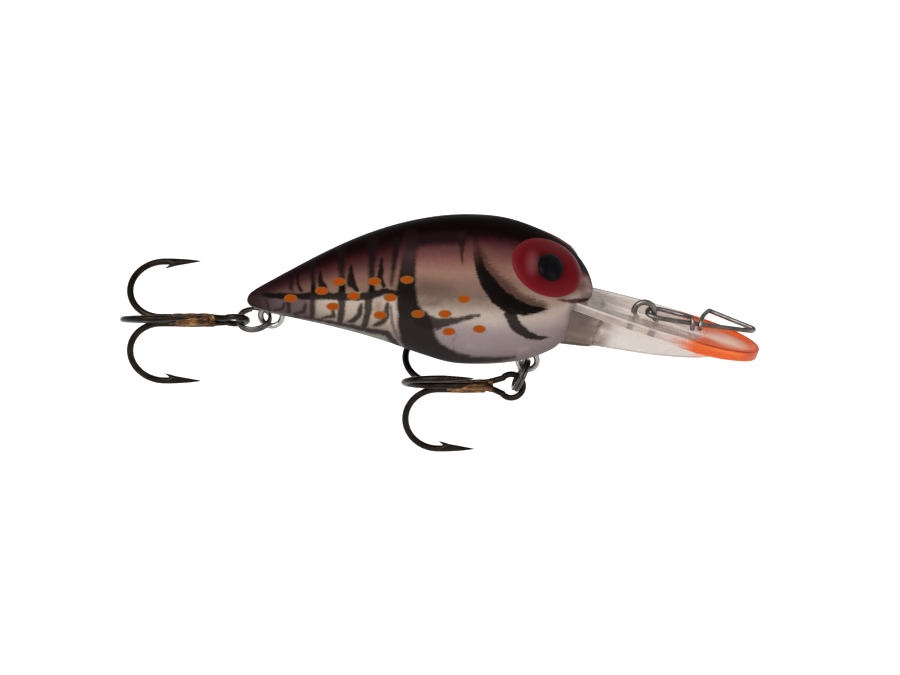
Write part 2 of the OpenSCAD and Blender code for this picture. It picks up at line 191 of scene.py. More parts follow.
class Nodes:
    """Fills one node tree. Nodes are made in the order in which they are worked out."""

    def __init__(self, tree):
        self.tree = tree
        tree.nodes.clear()

    def put(self, kind, ins, out=0, **props):
        """Adds a node and gives one of its outputs. Sockets are linked, and other inputs are set."""
        node = self.tree.nodes.new(kind)
        for key, value in props.items():
            setattr(node, key, value)
        for key, value in ins.items():
            if isinstance(value, bpy.types.NodeSocket):
                self.tree.links.new(value, node.inputs[key])
            else:
                node.inputs[key].default_value = value
        return node.outputs[out] if out is not None else None

    def flat(self, x, v):
        """A vector without a third component."""
        return self.put("ShaderNodeCombineXYZ", {0: x, 1: v, 2: 0.0}, "Vector")

    def parts(self, vector):
        """The three components of a vector."""
        node = self.tree.nodes.new("ShaderNodeSeparateXYZ")
        self.tree.links.new(vector, node.inputs[0])
        return node.outputs

    def calc(self, op, a, b=0.0, c=0.0):
        """One sum, by the name that Blender's Math node gives it."""
        return self.put("ShaderNodeMath", {0: a, 1: b, 2: c}, operation=op)

    def times(self, a, b):
        return self.calc("MULTIPLY", a, b)

    def scaled(self, a, by, plus):
        return self.calc("MULTIPLY_ADD", a, by, plus)

    def minus(self, a, b):
        return self.calc("SUBTRACT", a, b)

    def vec(self, op, a, b=None):
        out = "Value" if op in ("DOT_PRODUCT", "LENGTH", "DISTANCE") else "Vector"
        return self.put("ShaderNodeVectorMath", {0: a} if b is None else {0: a, 1: b}, out, operation=op)

    def vec_scaled(self, a, by):
        return self.put("ShaderNodeVectorMath", {0: a, "Scale": by}, "Vector", operation="SCALE")

    def remap(self, x, lo, hi, to_lo=0.0, to_hi=1.0, kind="SMOOTHSTEP"):
        """From lo and hi to to_lo and to_hi: level beyond them if eased, running on if linear."""
        return self.put("ShaderNodeMapRange", {"Value": x, "From Min": lo, "From Max": hi, "To Min": to_lo,
                                               "To Max": to_hi}, interpolation_type=kind, clamp=False)

    def mix(self, fac, a, b, how="MIX"):
        return self.put("ShaderNodeMix", {0: fac, 6: a, 7: b}, 2, data_type="RGBA", blend_type=how)

    def tint(self, colour, mask, strength, other):
        """Another colour laid over this one, as strongly as the mask times the strength says."""
        other = shade(*other) if isinstance(other, tuple) else other
        return self.mix(self.times(mask, strength), colour, other)

    def speckled(self, colour, grain, lo, hi):
        """The colour made darker and lighter, lo to hi times, by a noise."""
        speck = self.remap(grain, 0.25, 0.75, lo, hi, kind="LINEAR")
        speck = self.put("ShaderNodeCombineColor", {0: speck, 1: speck, 2: speck})
        return self.mix(1.0, colour, speck, "MULTIPLY")

    def noise(self, coords, scale, detail=2.0, rough=0.5):
        return self.put("ShaderNodeTexNoise", {"Vector": coords, "Scale": scale, "Detail": detail,
                                               "Roughness": rough}, "Fac")

    def ramp(self, x, stops):
        node = self.tree.nodes.new("ShaderNodeValToRGB")
        marks = node.color_ramp.elements
        while len(marks) < len(stops):
            marks.new(0.5)
        for mark, (place, colour) in zip(marks, stops):
            mark.position = place
            mark.color = shade(*colour)
        self.tree.links.new(x, node.inputs[0])
        return node.outputs[0]

    def curve(self, x, points, span, reach):
        """A smooth curve through given points, from x in span to a value in reach."""
        t = self.remap(x, span[0], span[1], kind="LINEAR")
        node = self.tree.nodes.new("ShaderNodeFloatCurve")
        line = node.mapping.curves[0]
        spots = [((a - span[0]) / (span[1] - span[0]), (b - reach[0]) / (reach[1] - reach[0]))
                 for a, b in sorted(points)]
        while len(line.points) < len(spots):
            line.points.new(0.5, 0.5)
        for spot, (a, b) in zip(line.points, spots):
            spot.location = (a, b)
        node.mapping.update()
        self.tree.links.new(t, node.inputs["Value"])
        return self.scaled(node.outputs[0], reach[1] - reach[0], reach[0])

    def stroke(self, at, points, nearest=None):
        """Distance to a painted stroke's edge, less than nought inside. Points are (x, v, half width)."""
        for (x0, v0, w0), (x1, v1, w1) in zip(points, points[1:]):
            along = Vector((x1 - x0, v1 - v0, 0))
            rel = self.vec("SUBTRACT", at, (x0, v0, 0))
            t = self.vec("DOT_PRODUCT", rel, along / along.length_squared)
            t = self.put("ShaderNodeClamp", {"Value": t})
            d = self.vec("LENGTH", self.vec("SUBTRACT", rel, self.vec_scaled(along, t)))
            d = self.scaled(t, w0 - w1, d)
            d = self.minus(d, w0)
            nearest = d if nearest is None else self.calc("MINIMUM", nearest, d)
        return nearest


class Look(Nodes):
    """One procedural material."""

    def __init__(self, name):
        self.material = bpy.data.materials.new(name)
        self.material.use_nodes = True
        super().__init__(self.material.node_tree)
        self.coords = self.put("ShaderNodeTexCoord", {}, "Object")

    def in_mm(self):
        """The object's own coordinates in millimetres."""
        return self.vec_scaled(self.coords, 1 / MM)

    def finish(self, **ins):
        """Closes the material. The bump is a height and the size of its relief in millimetres."""
        bump = ins.pop("bump", None)
        if bump is not None:
            height, size = bump
            ins["Normal"] = self.put("ShaderNodeBump", {"Height": height, "Strength": 1.0,
                                                        "Distance": size * MM}, "Normal")
        named = {key.replace("_", " "): value for key, value in ins.items()}
        bsdf = self.put("ShaderNodeBsdfPrincipled", named, "BSDF")
        end = self.tree.nodes.new("ShaderNodeOutputMaterial")
        self.tree.links.new(bsdf, end.inputs["Surface"])
        return self.material


# ---- The body's shape ----

NOSE_X = -7.65
WALL = 1.2
# Distance behind the nose, back, belly and half width of the body
BODY = [
    [0.0, 3.9, 3.1, 0.4], [0.3, 5.1, 2.45, 2.3], [0.9, 6.5, 1.9, 4.2], [1.8, 7.85, 1.65, 5.8],
    [2.7, 8.9, 1.4, 6.9], [3.3, 9.55, 0.7, 7.45], [3.7, 9.9, -1.2, 7.8], [4.2, 10.3, -3.5, 8.2],
    [5.2, 11.0, -4.75, 8.8], [6.5, 11.75, -5.6, 9.45], [9.4, 13.1, -6.8, 10.2],
    [12.8, 14.2, -7.45, 10.45], [16.5, 14.7, -7.7, 10.3], [21.0, 14.7, -7.5, 9.75],
    [25.6, 14.1, -6.15, 8.85], [30.4, 12.9, -4.4, 7.6], [35.2, 11.15, -2.95, 6.2],
    [40.0, 8.9, -1.75, 4.75], [44.6, 6.45, -0.75, 3.25], [47.5, 4.85, -0.15, 2.2],
    [49.6, 3.65, 0.5, 1.45], [50.7, 2.85, 1.0, 0.85], [51.1, 2.1, 1.6, 0.3]]
# Keeps the smooth skin inside the box of the faceted one
TRIM = 0.993

rows = smooth(BODY, 6)
row_x = NOSE_X - rows[:, 0]
row_mid = (rows[:, 1] + rows[:, 2]) / 2
row_high = (rows[:, 1] - rows[:, 2]) / 2 * TRIM
row_wide = rows[:, 3] * TRIM


def skin_level(p):
    """Less than one inside the body, one on its skin."""
    x = -np.asarray(p[..., 0])
    mid = np.interp(x, -row_x, row_mid)
    high = np.interp(x, -row_x, row_high)
    wide = np.interp(x, -row_x, row_wide)
    return ((p[..., 2] - mid) / high) ** 2 + (p[..., 1] / wide) ** 2


def to_line(points, line):
    """Distance of points on the side view to a line through a few places on it."""
    best = np.full(points.shape[:-1], 1e9)
    for a, b in zip(np.array(line)[:-1], np.array(line)[1:]):
        t = np.clip(((points - a) @ (b - a)) / ((b - a) @ (b - a)), 0, 1)
        best = np.minimum(best, np.linalg.norm(points - a - t[..., None] * (b - a), axis=-1))
    return best


# The paint is laid out on a side view seen from a little above: its height is z less this share of |y|
SLANT = 0.3057
MOUTH = [(-12.7, 1.9), (-10.8, 1.65), (-8.6, 1.75)]
MOUTH_DEPTH = 0.34
MOUTH_HALF = 0.24
# The fine groove on the seam: its depth, and how far round each half it reaches, in radians
SEAM_DEPTH = 0.06
SEAM_REACH = 0.012


def body_half(side):
    """One hollow half: outer skin, inner skin, and the rim where the halves meet."""
    angles = np.concatenate([[0, SEAM_REACH], np.linspace(0, math.pi, 97)[1:-1],
                             [math.pi - SEAM_REACH, math.pi]])
    outer = np.stack([np.outer(row_x, np.ones(len(angles))), np.outer(row_wide, np.sin(angles)),
                      row_mid[:, None] + np.outer(row_high, np.cos(angles))], axis=-1)
    side_view = np.stack([outer[..., 0], outer[..., 2] - SLANT * outer[..., 1]], axis=-1)
    dent = MOUTH_DEPTH * np.exp(-(to_line(side_view, MOUTH) / MOUTH_HALF) ** 2)
    dent[:, [0, -1]] += SEAM_DEPTH
    centre = np.stack([row_x, np.zeros(len(rows)), row_mid], axis=-1)[:, None, :]
    inward = centre - outer
    length = np.maximum(np.linalg.norm(inward, axis=-1, keepdims=True), 1e-6)
    outer = outer + inward / length * np.minimum(dent[..., None], 0.4 * length)
    outer[:, [0, -1], 1] = 0
    # The hollow needs fewer rows, and only those where it has room
    fits = [i for i in range(len(rows)) if row_wide[i] > WALL + 0.8 and row_high[i] > WALL + 1.0]
    fits = fits[::3]
    g = 33
    inner_angles = np.linspace(0, math.pi, g)
    inner = np.stack([np.outer(row_x[fits], np.ones(g)),
                      np.outer(row_wide[fits] - WALL, np.sin(inner_angles)),
                      row_mid[fits, None] + np.outer(row_high[fits] - WALL, np.cos(inner_angles))], axis=-1)
    m, k = outer.shape[:2]
    pts = np.vstack([outer.reshape(-1, 3), inner.reshape(-1, 3)])
    base_in = m * k

    def o(i, a):
        """Number of the outer skin's point in row i, a steps round."""
        return i * k + a

    def q(j, a):
        """Number of the inner skin's point in its row j, a steps round."""
        return base_in + j * g + a

    faces = []
    for i in range(m - 1):
        for a in range(k - 1):
            faces.append([o(i, a), o(i + 1, a), o(i + 1, a + 1), o(i, a + 1)])
    for j in range(len(fits) - 1):
        for a in range(g - 1):
            faces.append([q(j, a), q(j, a + 1), q(j + 1, a + 1), q(j + 1, a)])
    # The two ends of the body and of the hollow
    faces.append([o(0, a) for a in range(k)])
    faces.append([o(m - 1, a) for a in range(k - 1, -1, -1)])
    faces.append([q(0, a) for a in range(g - 1, -1, -1)])
    faces.append([q(len(fits) - 1, a) for a in range(g)])
    # The flat rim on the seam
    first, last = fits[0], fits[-1]
    for i in list(range(first)) + list(range(last, m - 1)):
        faces.append([o(i, 0), o(i, k - 1), o(i + 1, k - 1), o(i + 1, 0)])
    for j in range(len(fits) - 1):
        i0, i1 = fits[j], fits[j + 1]
        faces.append([q(j, 0), q(j + 1, 0)] + [o(i, 0) for i in range(i1, i0 - 1, -1)])
        faces.append([q(j + 1, g - 1), q(j, g - 1)] + [o(i, k - 1) for i in range(i0, i1 + 1)])
    faces.append([o(first, 0), q(0, 0), q(0, g - 1), o(first, k - 1)])
    faces.append([o(last, k - 1), q(len(fits) - 1, g - 1), q(len(fits) - 1, 0), o(last, 0)])
    if side < 0:
        pts[:, 1] *= -1
    else:
        faces = [f[::-1] for f in faces]
    return pts, faces


# ---- The craw paint ----

# Middle of the whole object on the side view, and how much smaller the pattern stands for each mm of bulge
MIDDLE = (-28.75, -3.96)
BULGE = 0.0026
# The paint's lower edge passes over the step that the chin makes between these distances from the nose
CHIN = (1.5, 4)
# The paint's extent along the body and up the side view
PAINT_X = (-60, -7)
PAINT_V = (-9, 16)
# The orange spots are ovals: how much their x and v are scaled to make them round
SPOT_SHAPE = (0.93, 1.5)

# The ground colours from the back's ridge to the belly
FRONT_TONES = (
    (0.0, (12, 1, 2)), (0.09, (16, 3, 4)), (0.13, (28, 9, 11)), (0.17, (62, 28, 31)), (0.22, (95, 54, 54)),
    (0.28, (116, 73, 68)), (0.33, (138, 95, 84)), (0.39, (150, 113, 98)), (0.47, (132, 104, 91)),
    (0.55, (120, 98, 88)), (0.60, (140, 120, 108)), (0.67, (176, 158, 145)), (0.72, (181, 165, 154)),
    (0.77, (162, 147, 143)), (0.83, (149, 133, 131)), (0.93, (142, 126, 125)), (1.0, (124, 108, 108)))
TAIL_TONES = (
    (0.0, (12, 1, 2)), (0.11, (20, 5, 6)), (0.17, (38, 13, 15)), (0.22, (60, 27, 28)), (0.28, (78, 43, 41)),
    (0.34, (100, 64, 59)), (0.41, (124, 88, 78)), (0.49, (132, 100, 85)), (0.56, (132, 106, 90)),
    (0.60, (165, 148, 134)), (0.65, (192, 175, 159)), (0.80, (180, 163, 149)), (0.91, (152, 134, 122)),
    (1.0, (130, 118, 112)))
SOFT_AREAS = (
    # soft edge, colour, strength, and the stroke it is laid along; one row is a painted highlight on the nose
    (1.7, (84, 64, 58), 0.72, [(-32.6, 3.8, 0.9), (-29.0, 3.4, 0.5)]),
    (1.2, (102, 82, 72), 0.8, [(-33.0, 1.2, 0.4), (-30.6, 1.3, 0.4)]),
    (1.2, (138, 110, 97), 0.85, [(-39.4, 1.2, 0.5), (-39.2, -0.6, 0.4)]),
    (1.0, (92, 56, 58), 0.6, [(-29.4, 9.4, 0.5), (-27.8, 9.5, 0.5)]),
    (1.6, (112, 78, 70), 0.5, [(-23.8, 9.2, 0.4), (-22.0, 7.5, 0.8), (-19.6, 4.4, 0.6)]),
    (1.2, (176, 145, 127), 0.75, [(-18.8, 3.0, 0.5), (-15.6, 2.0, 0.6), (-12.4, 1.4, 0.4)]),
    (1.4, (192, 176, 164), 0.6, [(-24.4, -0.6, 0.5), (-22.6, -1.4, 0.6)]),
    (1.2, (152, 136, 140), 0.6, [(-29.6, -3.4, 0.6), (-27.0, -4.0, 1.8), (-24.0, -4.6, 1.4)]),
    (1.2, (180, 157, 148), 0.6, [(-16.6, -1.6, 0.5), (-12.6, -1.0, 1.2)]),
    (1.0, (136, 116, 114), 0.6, [(-12.0, -2.8, 0.4), (-12.0, -4.6, 0.4)]),
    (1.1, (116, 74, 71), 0.9, [(-10.6, 4.4, 0.6), (-9.2, 3.2, 0.6)]),
    # A painted highlight along the edge of the nose
    (0.6, (172, 150, 150), 0.7, [(-8.6, 5.2, 0.1), (-8.1, 3.4, 0.2)]),
    # What shows faintly through the plastic: a rib, a ball and a boss
    (0.3, (100, 82, 88), 0.5, [(-27.8, -3.3, 0.05), (-28.3, -4.6, 0.05), (-28.0, -6.9, 0.05)]),
    (0.6, (172, 156, 158), 0.45, [(-25.9, -5.3, 0.25), (-25.8, -5.3, 0.25)]),
    (0.5, (170, 148, 146), 0.45, [(-18.4, -6.0, 0.3), (-17.6, -5.8, 0.3)]))

# Strokes are rows of (x, v, half width)
UPPER_BARS = (
    [(-52.2, 6.6, 0.35), (-52.2, 5.0, 0.3), (-52.2, 3.6, 0.3)],
    [(-49.1, 7.6, 0.5), (-49.0, 5.4, 0.36), (-48.9, 3.4, 0.34)],
    [(-44.8, 9.4, 0.65), (-44.7, 6.6, 0.46), (-44.65, 3.6, 0.44)],
    [(-40.0, 11.0, 0.8), (-40.25, 7.6, 0.55), (-40.3, 3.6, 0.42)],
    [(-36.6, 10.8, 0.6), (-36.95, 7.6, 0.38), (-37.4, 4.2, 0.22)])
UPPER_HOOKS = (
    [(-51.2, 5.8, 0.06), (-51.25, 4.3, 0.18), (-50.7, 3.3, 0.18)],
    [(-47.9, 6.1, 0.14), (-47.8, 4.7, 0.4), (-47.5, 3.7, 0.5), (-46.8, 2.9, 0.18)],
    [(-43.3, 7.1, 0.14), (-43.4, 5.5, 0.44), (-43.25, 4.4, 0.6), (-42.4, 3.3, 0.16)],
    [(-38.8, 8.0, 0.16), (-38.95, 6.2, 0.38), (-39.15, 5.2, 0.4), (-38.5, 4.0, 0.22)],
    [(-49.0, 4.4, 0.1), (-48.95, 3.1, 0.4)],
    [(-44.6, 4.6, 0.15), (-44.7, 3.1, 0.55)],
    [(-40.3, 4.4, 0.15), (-40.3, 3.0, 0.5)])
SIDE_LINE = [
    (-56.2, 2.6, 0.26), (-52.7, 2.4, 0.46), (-51.1, 2.4, 0.38), (-49.0, 2.5, 0.62), (-46.9, 2.4, 0.44),
    (-44.9, 2.45, 0.62), (-42.9, 2.2, 0.44), (-40.8, 2.5, 0.58), (-39.4, 2.8, 0.42), (-38.2, 3.2, 0.42),
    (-36.8, 2.8, 0.4)]
LOWER_MARKS = (
    [(-52.6, 1.7, 0.3), (-52.6, 0.1, 0.26)],
    [(-49.05, 1.9, 0.38), (-49.1, -0.3, 0.33), (-49.2, -0.9, 0.3)],
    [(-44.8, 1.9, 0.52), (-44.8, 0.3, 0.46), (-45.1, -1.6, 0.42)],
    [(-40.75, 2.0, 0.55), (-40.9, 0.0, 0.5), (-41.5, -2.4, 0.42)],
    [(-53.4, -0.5, 0.06), (-49.3, -1.0, 0.18), (-45.1, -1.85, 0.24), (-41.4, -2.7, 0.3),
     (-38.2, -3.3, 0.38), (-36.6, -5.2, 0.4)],
    [(-56.0, 2.0, 0.06), (-55.5, 0.2, 0.1)],
    [(-53.3, 1.25, 0.1), (-53.5, 0.5, 0.18), (-54.6, 0.3, 0.12)],
    [(-50.2, 1.1, 0.2), (-50.35, 0.1, 0.22), (-51.8, -0.3, 0.1)],
    [(-46.1, 0.3, 0.2), (-46.0, -0.6, 0.28), (-47.7, -1.0, 0.1)],
    [(-41.9, 1.1, 0.2), (-42.15, -0.3, 0.4), (-43.0, -1.3, 0.32), (-44.2, -1.6, 0.12)],
    [(-38.0, 1.3, 0.24), (-38.2, -0.7, 0.4), (-38.8, -1.6, 0.38), (-40.1, -2.1, 0.12)])
PALE_LINE = [(-37.5, 1.0, 0.05), (-37.3, -1.8, 0.22), (-36.6, -3.9, 0.2), (-35.6, -5.0, 0.12)]
ARCH = [(-34.6, 10.2, 0.7), (-33.2, 10.9, 0.8), (-31.0, 11.3, 0.9), (-27.2, 11.4, 0.8)]
BAND = [
    (-34.5, 11.6, 1.1), (-34.9, 7.4, 1.15), (-35.1, 5.3, 1.25), (-35.2, 3.1, 1.5), (-35.0, 0.6, 1.65),
    (-34.0, -1.9, 2.55), (-33.5, -4.0, 2.6), (-31.6, -5.9, 1.8), (-28.6, -7.0, 1.0), (-25.5, -7.5, 0.62),
    (-22.4, -7.45, 0.46), (-19.2, -7.05, 0.2)]
STREAK = [
    (-33.2, -1.3, 1.0), (-30.7, -1.85, 0.95), (-28.2, -1.4, 0.5), (-26.2, -0.9, 0.36), (-24.5, -0.5, 0.2)]
WEDGE = [(-27.05, 11.8, 0.5), (-27.0, 9.6, 0.3), (-26.95, 7.2, 0.03)]
FRINGE = [
    (-24.3, 9.4, 0.2), (-23.6, 6.9, 0.7), (-22.2, 4.7, 1.15), (-20.6, 2.9, 1.4), (-18.8, 1.6, 1.4),
    (-16.9, 1.0, 1.1), (-15.0, 0.75, 0.5)]
FIRST_GILL = [
    (-24.95, 11.6, 0.35), (-24.85, 9.2, 0.52), (-24.3, 6.7, 0.78), (-23.1, 4.4, 1.15), (-21.6, 2.4, 1.35),
    (-19.7, 0.95, 1.35), (-17.7, 0.4, 1.0), (-16.0, 0.3, 0.6), (-14.4, 0.5, 0.12)]
SECOND_GILL = [
    (-19.9, -0.3, 0.9), (-18.9, -2.3, 0.85), (-17.2, -3.6, 0.64), (-15.4, -4.05, 0.36), (-13.8, -3.9, 0.06)]
MOUTH_LINE = [(-12.8, 1.9, 0.04), (-10.8, 1.65, 0.3), (-8.4, 1.75, 0.34)]
SPOTS = (
    (-52.3, 2.1), (-47.7, 3.25), (-45.1, 4.65), (-46.1, 0.85), (-43.0, 2.45), (-39.9, 4.7), (-37.6, 2.2),
    (-39.1, -0.5), (-35.1, 4.95), (-33.5, -0.3), (-29.5, -0.3), (-26.7, 2.0), (-28.9, -3.05), (-24.4, -2.65))


def paint_look():
    """Sprayed craw pattern: dark back, rose and cream sides, pearl belly, dark marks and orange spots."""
    k = Look("craw_paint")
    mm = k.in_mm()
    own_x, own_y, own_z = k.parts(mm)
    y = k.calc("ABSOLUTE", own_y)
    v = k.scaled(y, -SLANT, own_z)
    # The sprayed pattern stands a little smaller where the side bulges out
    bulge = k.scaled(y, BULGE, 1.0)
    x = k.scaled(k.calc("ADD", own_x, -MIDDLE[0]), bulge, MIDDLE[0])
    v = k.scaled(k.calc("ADD", v, -MIDDLE[1]), bulge, MIDDLE[1])
    flat = k.flat(x, v)

    # Small wobble of every edge, and hair-like streaks for the sprayed fringes
    wobble = k.noise(flat, 1.1, 2.0, 0.55)
    grain = k.noise(mm, 9.0, 2.0, 0.6)
    hair_at = k.put("ShaderNodeMapping", {"Vector": flat, "Rotation": (0, 0, math.radians(-48)),
                                          "Scale": (0.9, 6.5, 1.0)}, "Vector")
    hair = k.noise(hair_at, 1.0, 2.0, 0.6)
    edge = k.scaled(wobble, 0.5, -0.25)
    edge = k.scaled(grain, 0.3, edge)
    edge = k.minus(edge, 0.15)
    hairy = k.scaled(hair, 1.6, -0.8)

    def sprayed(lines, outer, inner, hairs=0.0):
        """One inside the strokes. It fades over a ragged edge, from outer to inner mm past their outline."""
        d = None
        for line in lines:
            d = k.stroke(flat, line, d)
        d = k.calc("ADD", d, edge)
        if hairs:
            d = k.scaled(hairy, hairs, d)
        return k.remap(d, outer, inner)

    # How far down the side a place lies: nought on the back's ridge, one at the belly
    back = k.curve(x, [(NOSE_X - r[0], r[1]) for r in BODY], PAINT_X, PAINT_V)
    belly_rows = [r for r in BODY if not CHIN[0] < r[0] < CHIN[1]]
    belly = k.curve(x, [(NOSE_X - r[0], r[2]) for r in belly_rows], PAINT_X, PAINT_V)
    down = k.calc("DIVIDE", k.minus(back, v), k.minus(back, belly))
    down = k.scaled(wobble, 0.03, down)
    down = k.minus(down, 0.015)

    colour = k.mix(k.remap(x, -34.0, -38.0), k.ramp(down, FRONT_TONES), k.ramp(down, TAIL_TONES))

    # Darker toward the tail's end, whose last two segments are smoky below the line
    end = k.put("ShaderNodeClamp", {"Value": k.remap(x, -46.5, -57.0, kind="LINEAR")})
    colour = k.tint(colour, end, 0.85, (40, 20, 24))
    smoke = k.times(k.remap(x, -48.0, -50.2), k.remap(v, 2.9, 1.9))
    colour = k.tint(colour, smoke, 0.85, (86, 69, 71))
    colour = k.tint(colour, k.remap(x, -53.6, -58.0), 0.85, (44, 27, 30))

    for soft, rgb, strength, line in SOFT_AREAS:
        d = k.scaled(wobble, 0.9, k.stroke(flat, line))
        colour = k.tint(colour, k.remap(k.minus(d, 0.45), soft, -soft), strength, rgb)

    # Pearl strip along the underside of the tail
    strip = k.times(k.remap(down, 0.94, 0.98), k.remap(x, -34.5, -37.5))
    colour = k.tint(colour, strip, 0.75, (146, 140, 134))

    # Dark bars and marks between the tail's plates, soft out of the back and harder below
    colour = k.tint(colour, sprayed(UPPER_BARS, 0.42, -0.42), 0.92, (26, 16, 18))
    colour = k.tint(colour, sprayed((*UPPER_HOOKS, SIDE_LINE), 0.28, -0.14), 0.95, (13, 10, 11))
    lower = sprayed(LOWER_MARKS, 0.34, -0.18)
    tone = k.ramp(k.remap(x, -56.0, -44.0, kind="LINEAR"), [
        (0.0, (44, 32, 36)), (0.6, (50, 36, 36)), (1.0, (42, 34, 30))])
    colour = k.tint(colour, lower, 0.93, tone)

    # A thin pale line behind the band, and a dusky arch from the band's top to the thin wedge
    colour = k.tint(colour, sprayed([PALE_LINE], 0.2, -0.1), 0.85, (106, 90, 94))
    colour = k.tint(colour, sprayed([ARCH], 0.7, -0.5), 0.9, (30, 15, 19))

    # Broad band behind the claw, dusky above, black at the middle, running on along the belly
    band = sprayed([BAND], 0.35, -0.35, 0.3)
    tone = k.ramp(k.remap(v, 12.0, -8.0, kind="LINEAR"), [
        (0.0, (34, 16, 20)), (0.16, (52, 36, 38)), (0.27, (42, 32, 32)), (0.34, (16, 12, 11)),
        (0.6, (13, 10, 9)), (0.68, (33, 29, 28)), (0.84, (38, 32, 33)), (1.0, (46, 38, 40))])
    colour = k.tint(colour, band, k.remap(v, 11.5, 7.0, 0.6, 0.97), tone)

    # The claw's streak with its fuzzy end, and the thin wedge from the back
    colour = k.tint(colour, sprayed([STREAK], 0.24, -0.24, 0.4), 0.92, (38, 31, 29))
    colour = k.tint(colour, sprayed([WEDGE], 0.25, -0.2), 0.85, (34, 22, 24))

    # The two gill crescents, the first with a brown fringe of hair and fading into the back
    d = k.scaled(k.minus(grain, 0.5), 1.6, k.stroke(flat, FRINGE))
    fringe = k.remap(k.scaled(hairy, 1.1, d), 0.75, -0.35)
    colour = k.tint(colour, fringe, 0.85, (66, 40, 33))
    gill = sprayed([FIRST_GILL], 0.16, -0.2, 0.35)
    colour = k.tint(colour, gill, k.remap(v, 11.4, 6.6, 0.2, 0.98), (13, 9, 9))
    colour = k.tint(colour, sprayed([SECOND_GILL], 0.18, -0.2, 0.3), 0.95, (30, 22, 20))

    colour = k.tint(colour, sprayed([MOUTH_LINE], 0.18, -0.12), 0.9, (74, 22, 24))

    # Orange spots with an ochre rim
    squat = k.vec("MULTIPLY", flat, (*SPOT_SHAPE, 0))
    spot = None
    for spot_x, spot_v in SPOTS:
        d = k.vec("DISTANCE", squat, (spot_x * SPOT_SHAPE[0], spot_v * SPOT_SHAPE[1], 0))
        spot = d if spot is None else k.calc("MINIMUM", spot, d)
    spot = k.scaled(edge, 0.35, spot)
    colour = k.tint(colour, k.remap(spot, 1.02, 0.84), 0.9, (138, 92, 44))
    heart = k.remap(spot, 0.9, 0.62)
    warm = k.mix(k.remap(wobble, 0.35, 0.65), shade(150, 76, 16), shade(178, 66, 6))
    colour = k.mix(heart, colour, warm)

    # Fine speckle of the paint, brushed slightly along the body
    brushed = k.noise(k.vec("MULTIPLY", mm, (2.2, 6.0, 7.0)), 1.4, 3.0, 0.65)
    colour = k.speckled(colour, brushed, 0.86, 1.14)
    rough = k.remap(grain, 0.2, 0.8, 0.42, 0.54, kind="LINEAR")
    height = k.scaled(brushed, 0.5, k.times(grain, 0.4))
    return k.finish(Base_Color=colour, Roughness=rough, Specular_IOR_Level=0.015, bump=(height, 0.02))


# ---- Other looks ----

def metal_look(name, dark, light, rough, bump=0.02, scale=3.0, along=(1, 1, 1)):
    """Metal whose tone, gloss and surface vary with drawn lines and small stains."""
    k = Look(name)
    mm = k.in_mm()
    stain = k.noise(mm, 0.55, 3.0, 0.6)
    fine = k.noise(k.vec("MULTIPLY", mm, along), scale, 3.0, 0.65)
    fac = k.scaled(fine, 0.5, k.times(stain, 0.6))
    colour = k.ramp(fac, [(0.32, dark), (0.78, light)])
    gloss = k.remap(fine, 0.2, 0.8, rough[0], rough[1], kind="LINEAR")
    return k.finish(Base_Color=colour, Metallic=1.0, Roughness=gloss, bump=(fine, bump))


def braze_look():
    """Bronze run over the shanks and streaked along them, from bright copper to dark brown."""
    k = Look("braze_bronze")
    mm = k.in_mm()
    blotch = k.noise(k.vec("MULTIPLY", mm, (0.45, 0.8, 0.8)), 0.9, 2.0, 0.5)
    fine = k.noise(k.vec("MULTIPLY", mm, (0.8, 3.0, 3.0)), 1.6, 3.0, 0.6)
    fac = k.scaled(fine, 0.4, k.times(blotch, 0.75))
    colour = k.ramp(fac, [(0.42, (40, 27, 19)), (0.52, (88, 61, 38)), (0.60, (132, 91, 54)),
                          (0.70, (190, 138, 86))])
    gloss = k.remap(fine, 0.3, 0.7, 0.26, 0.42, kind="LINEAR")
    return k.finish(Base_Color=colour, Metallic=0.85, Roughness=gloss, bump=(fac, 0.05))


def eye_look():
    """Deep red, cloudy and finely speckled, with painted shade about the pupil and painted light toward the
    rim.
    """
    k = Look("eye_red")
    mm = k.in_mm()
    x, y, z = k.parts(mm)
    y = k.calc("ABSOLUTE", y)
    v = k.scaled(y, -SLANT, z)
    x = k.minus(x, EYE_AT[0])
    v = k.minus(v, EYE_AT[1])
    flat = k.flat(x, v)
    oval = k.put("ShaderNodeMapping", {"Vector": flat, "Rotation": (0, 0, math.radians(-EYE_TILT))}, "Vector")
    oval = k.vec("MULTIPLY", oval, (1 / EYE_LONG, 1 / EYE_SHORT, 0))
    r = k.vec("LENGTH", oval)
    cloud = k.noise(mm, 0.7, 3.0, 0.6)
    fine = k.noise(mm, 5.0, 2.0, 0.6)
    r = k.scaled(cloud, 0.08, r)
    # Painted shade darkens the red about the pupil, and painted light brightens it toward the rim
    colour = k.ramp(k.remap(r, 0.34, 1.04, kind="LINEAR"), [
        (0.0, (44, 4, 8)), (0.14, (74, 8, 12)), (0.45, (98, 14, 20)), (0.74, (104, 18, 24)),
        (0.9, (116, 26, 33)), (1.0, (122, 34, 42))])
    # A painted highlight: a milky pink patch beside the pupil
    pupil_highlight = k.vec("DISTANCE", k.vec("MULTIPLY", flat, (1.0, 0.55, 0)), (-2.15, 0.35, 0))
    pupil_highlight = k.times(k.remap(pupil_highlight, 1.5, 0.1), 0.24)
    colour = k.mix(pupil_highlight, colour, shade(196, 118, 120))
    colour = k.speckled(colour, fine, 0.92, 1.08)
    gloss = k.remap(cloud, 0.2, 0.8, 0.26, 0.36, kind="LINEAR")
    return k.finish(Base_Color=colour, Roughness=gloss, Specular_IOR_Level=0.05, bump=(fine, 0.004))


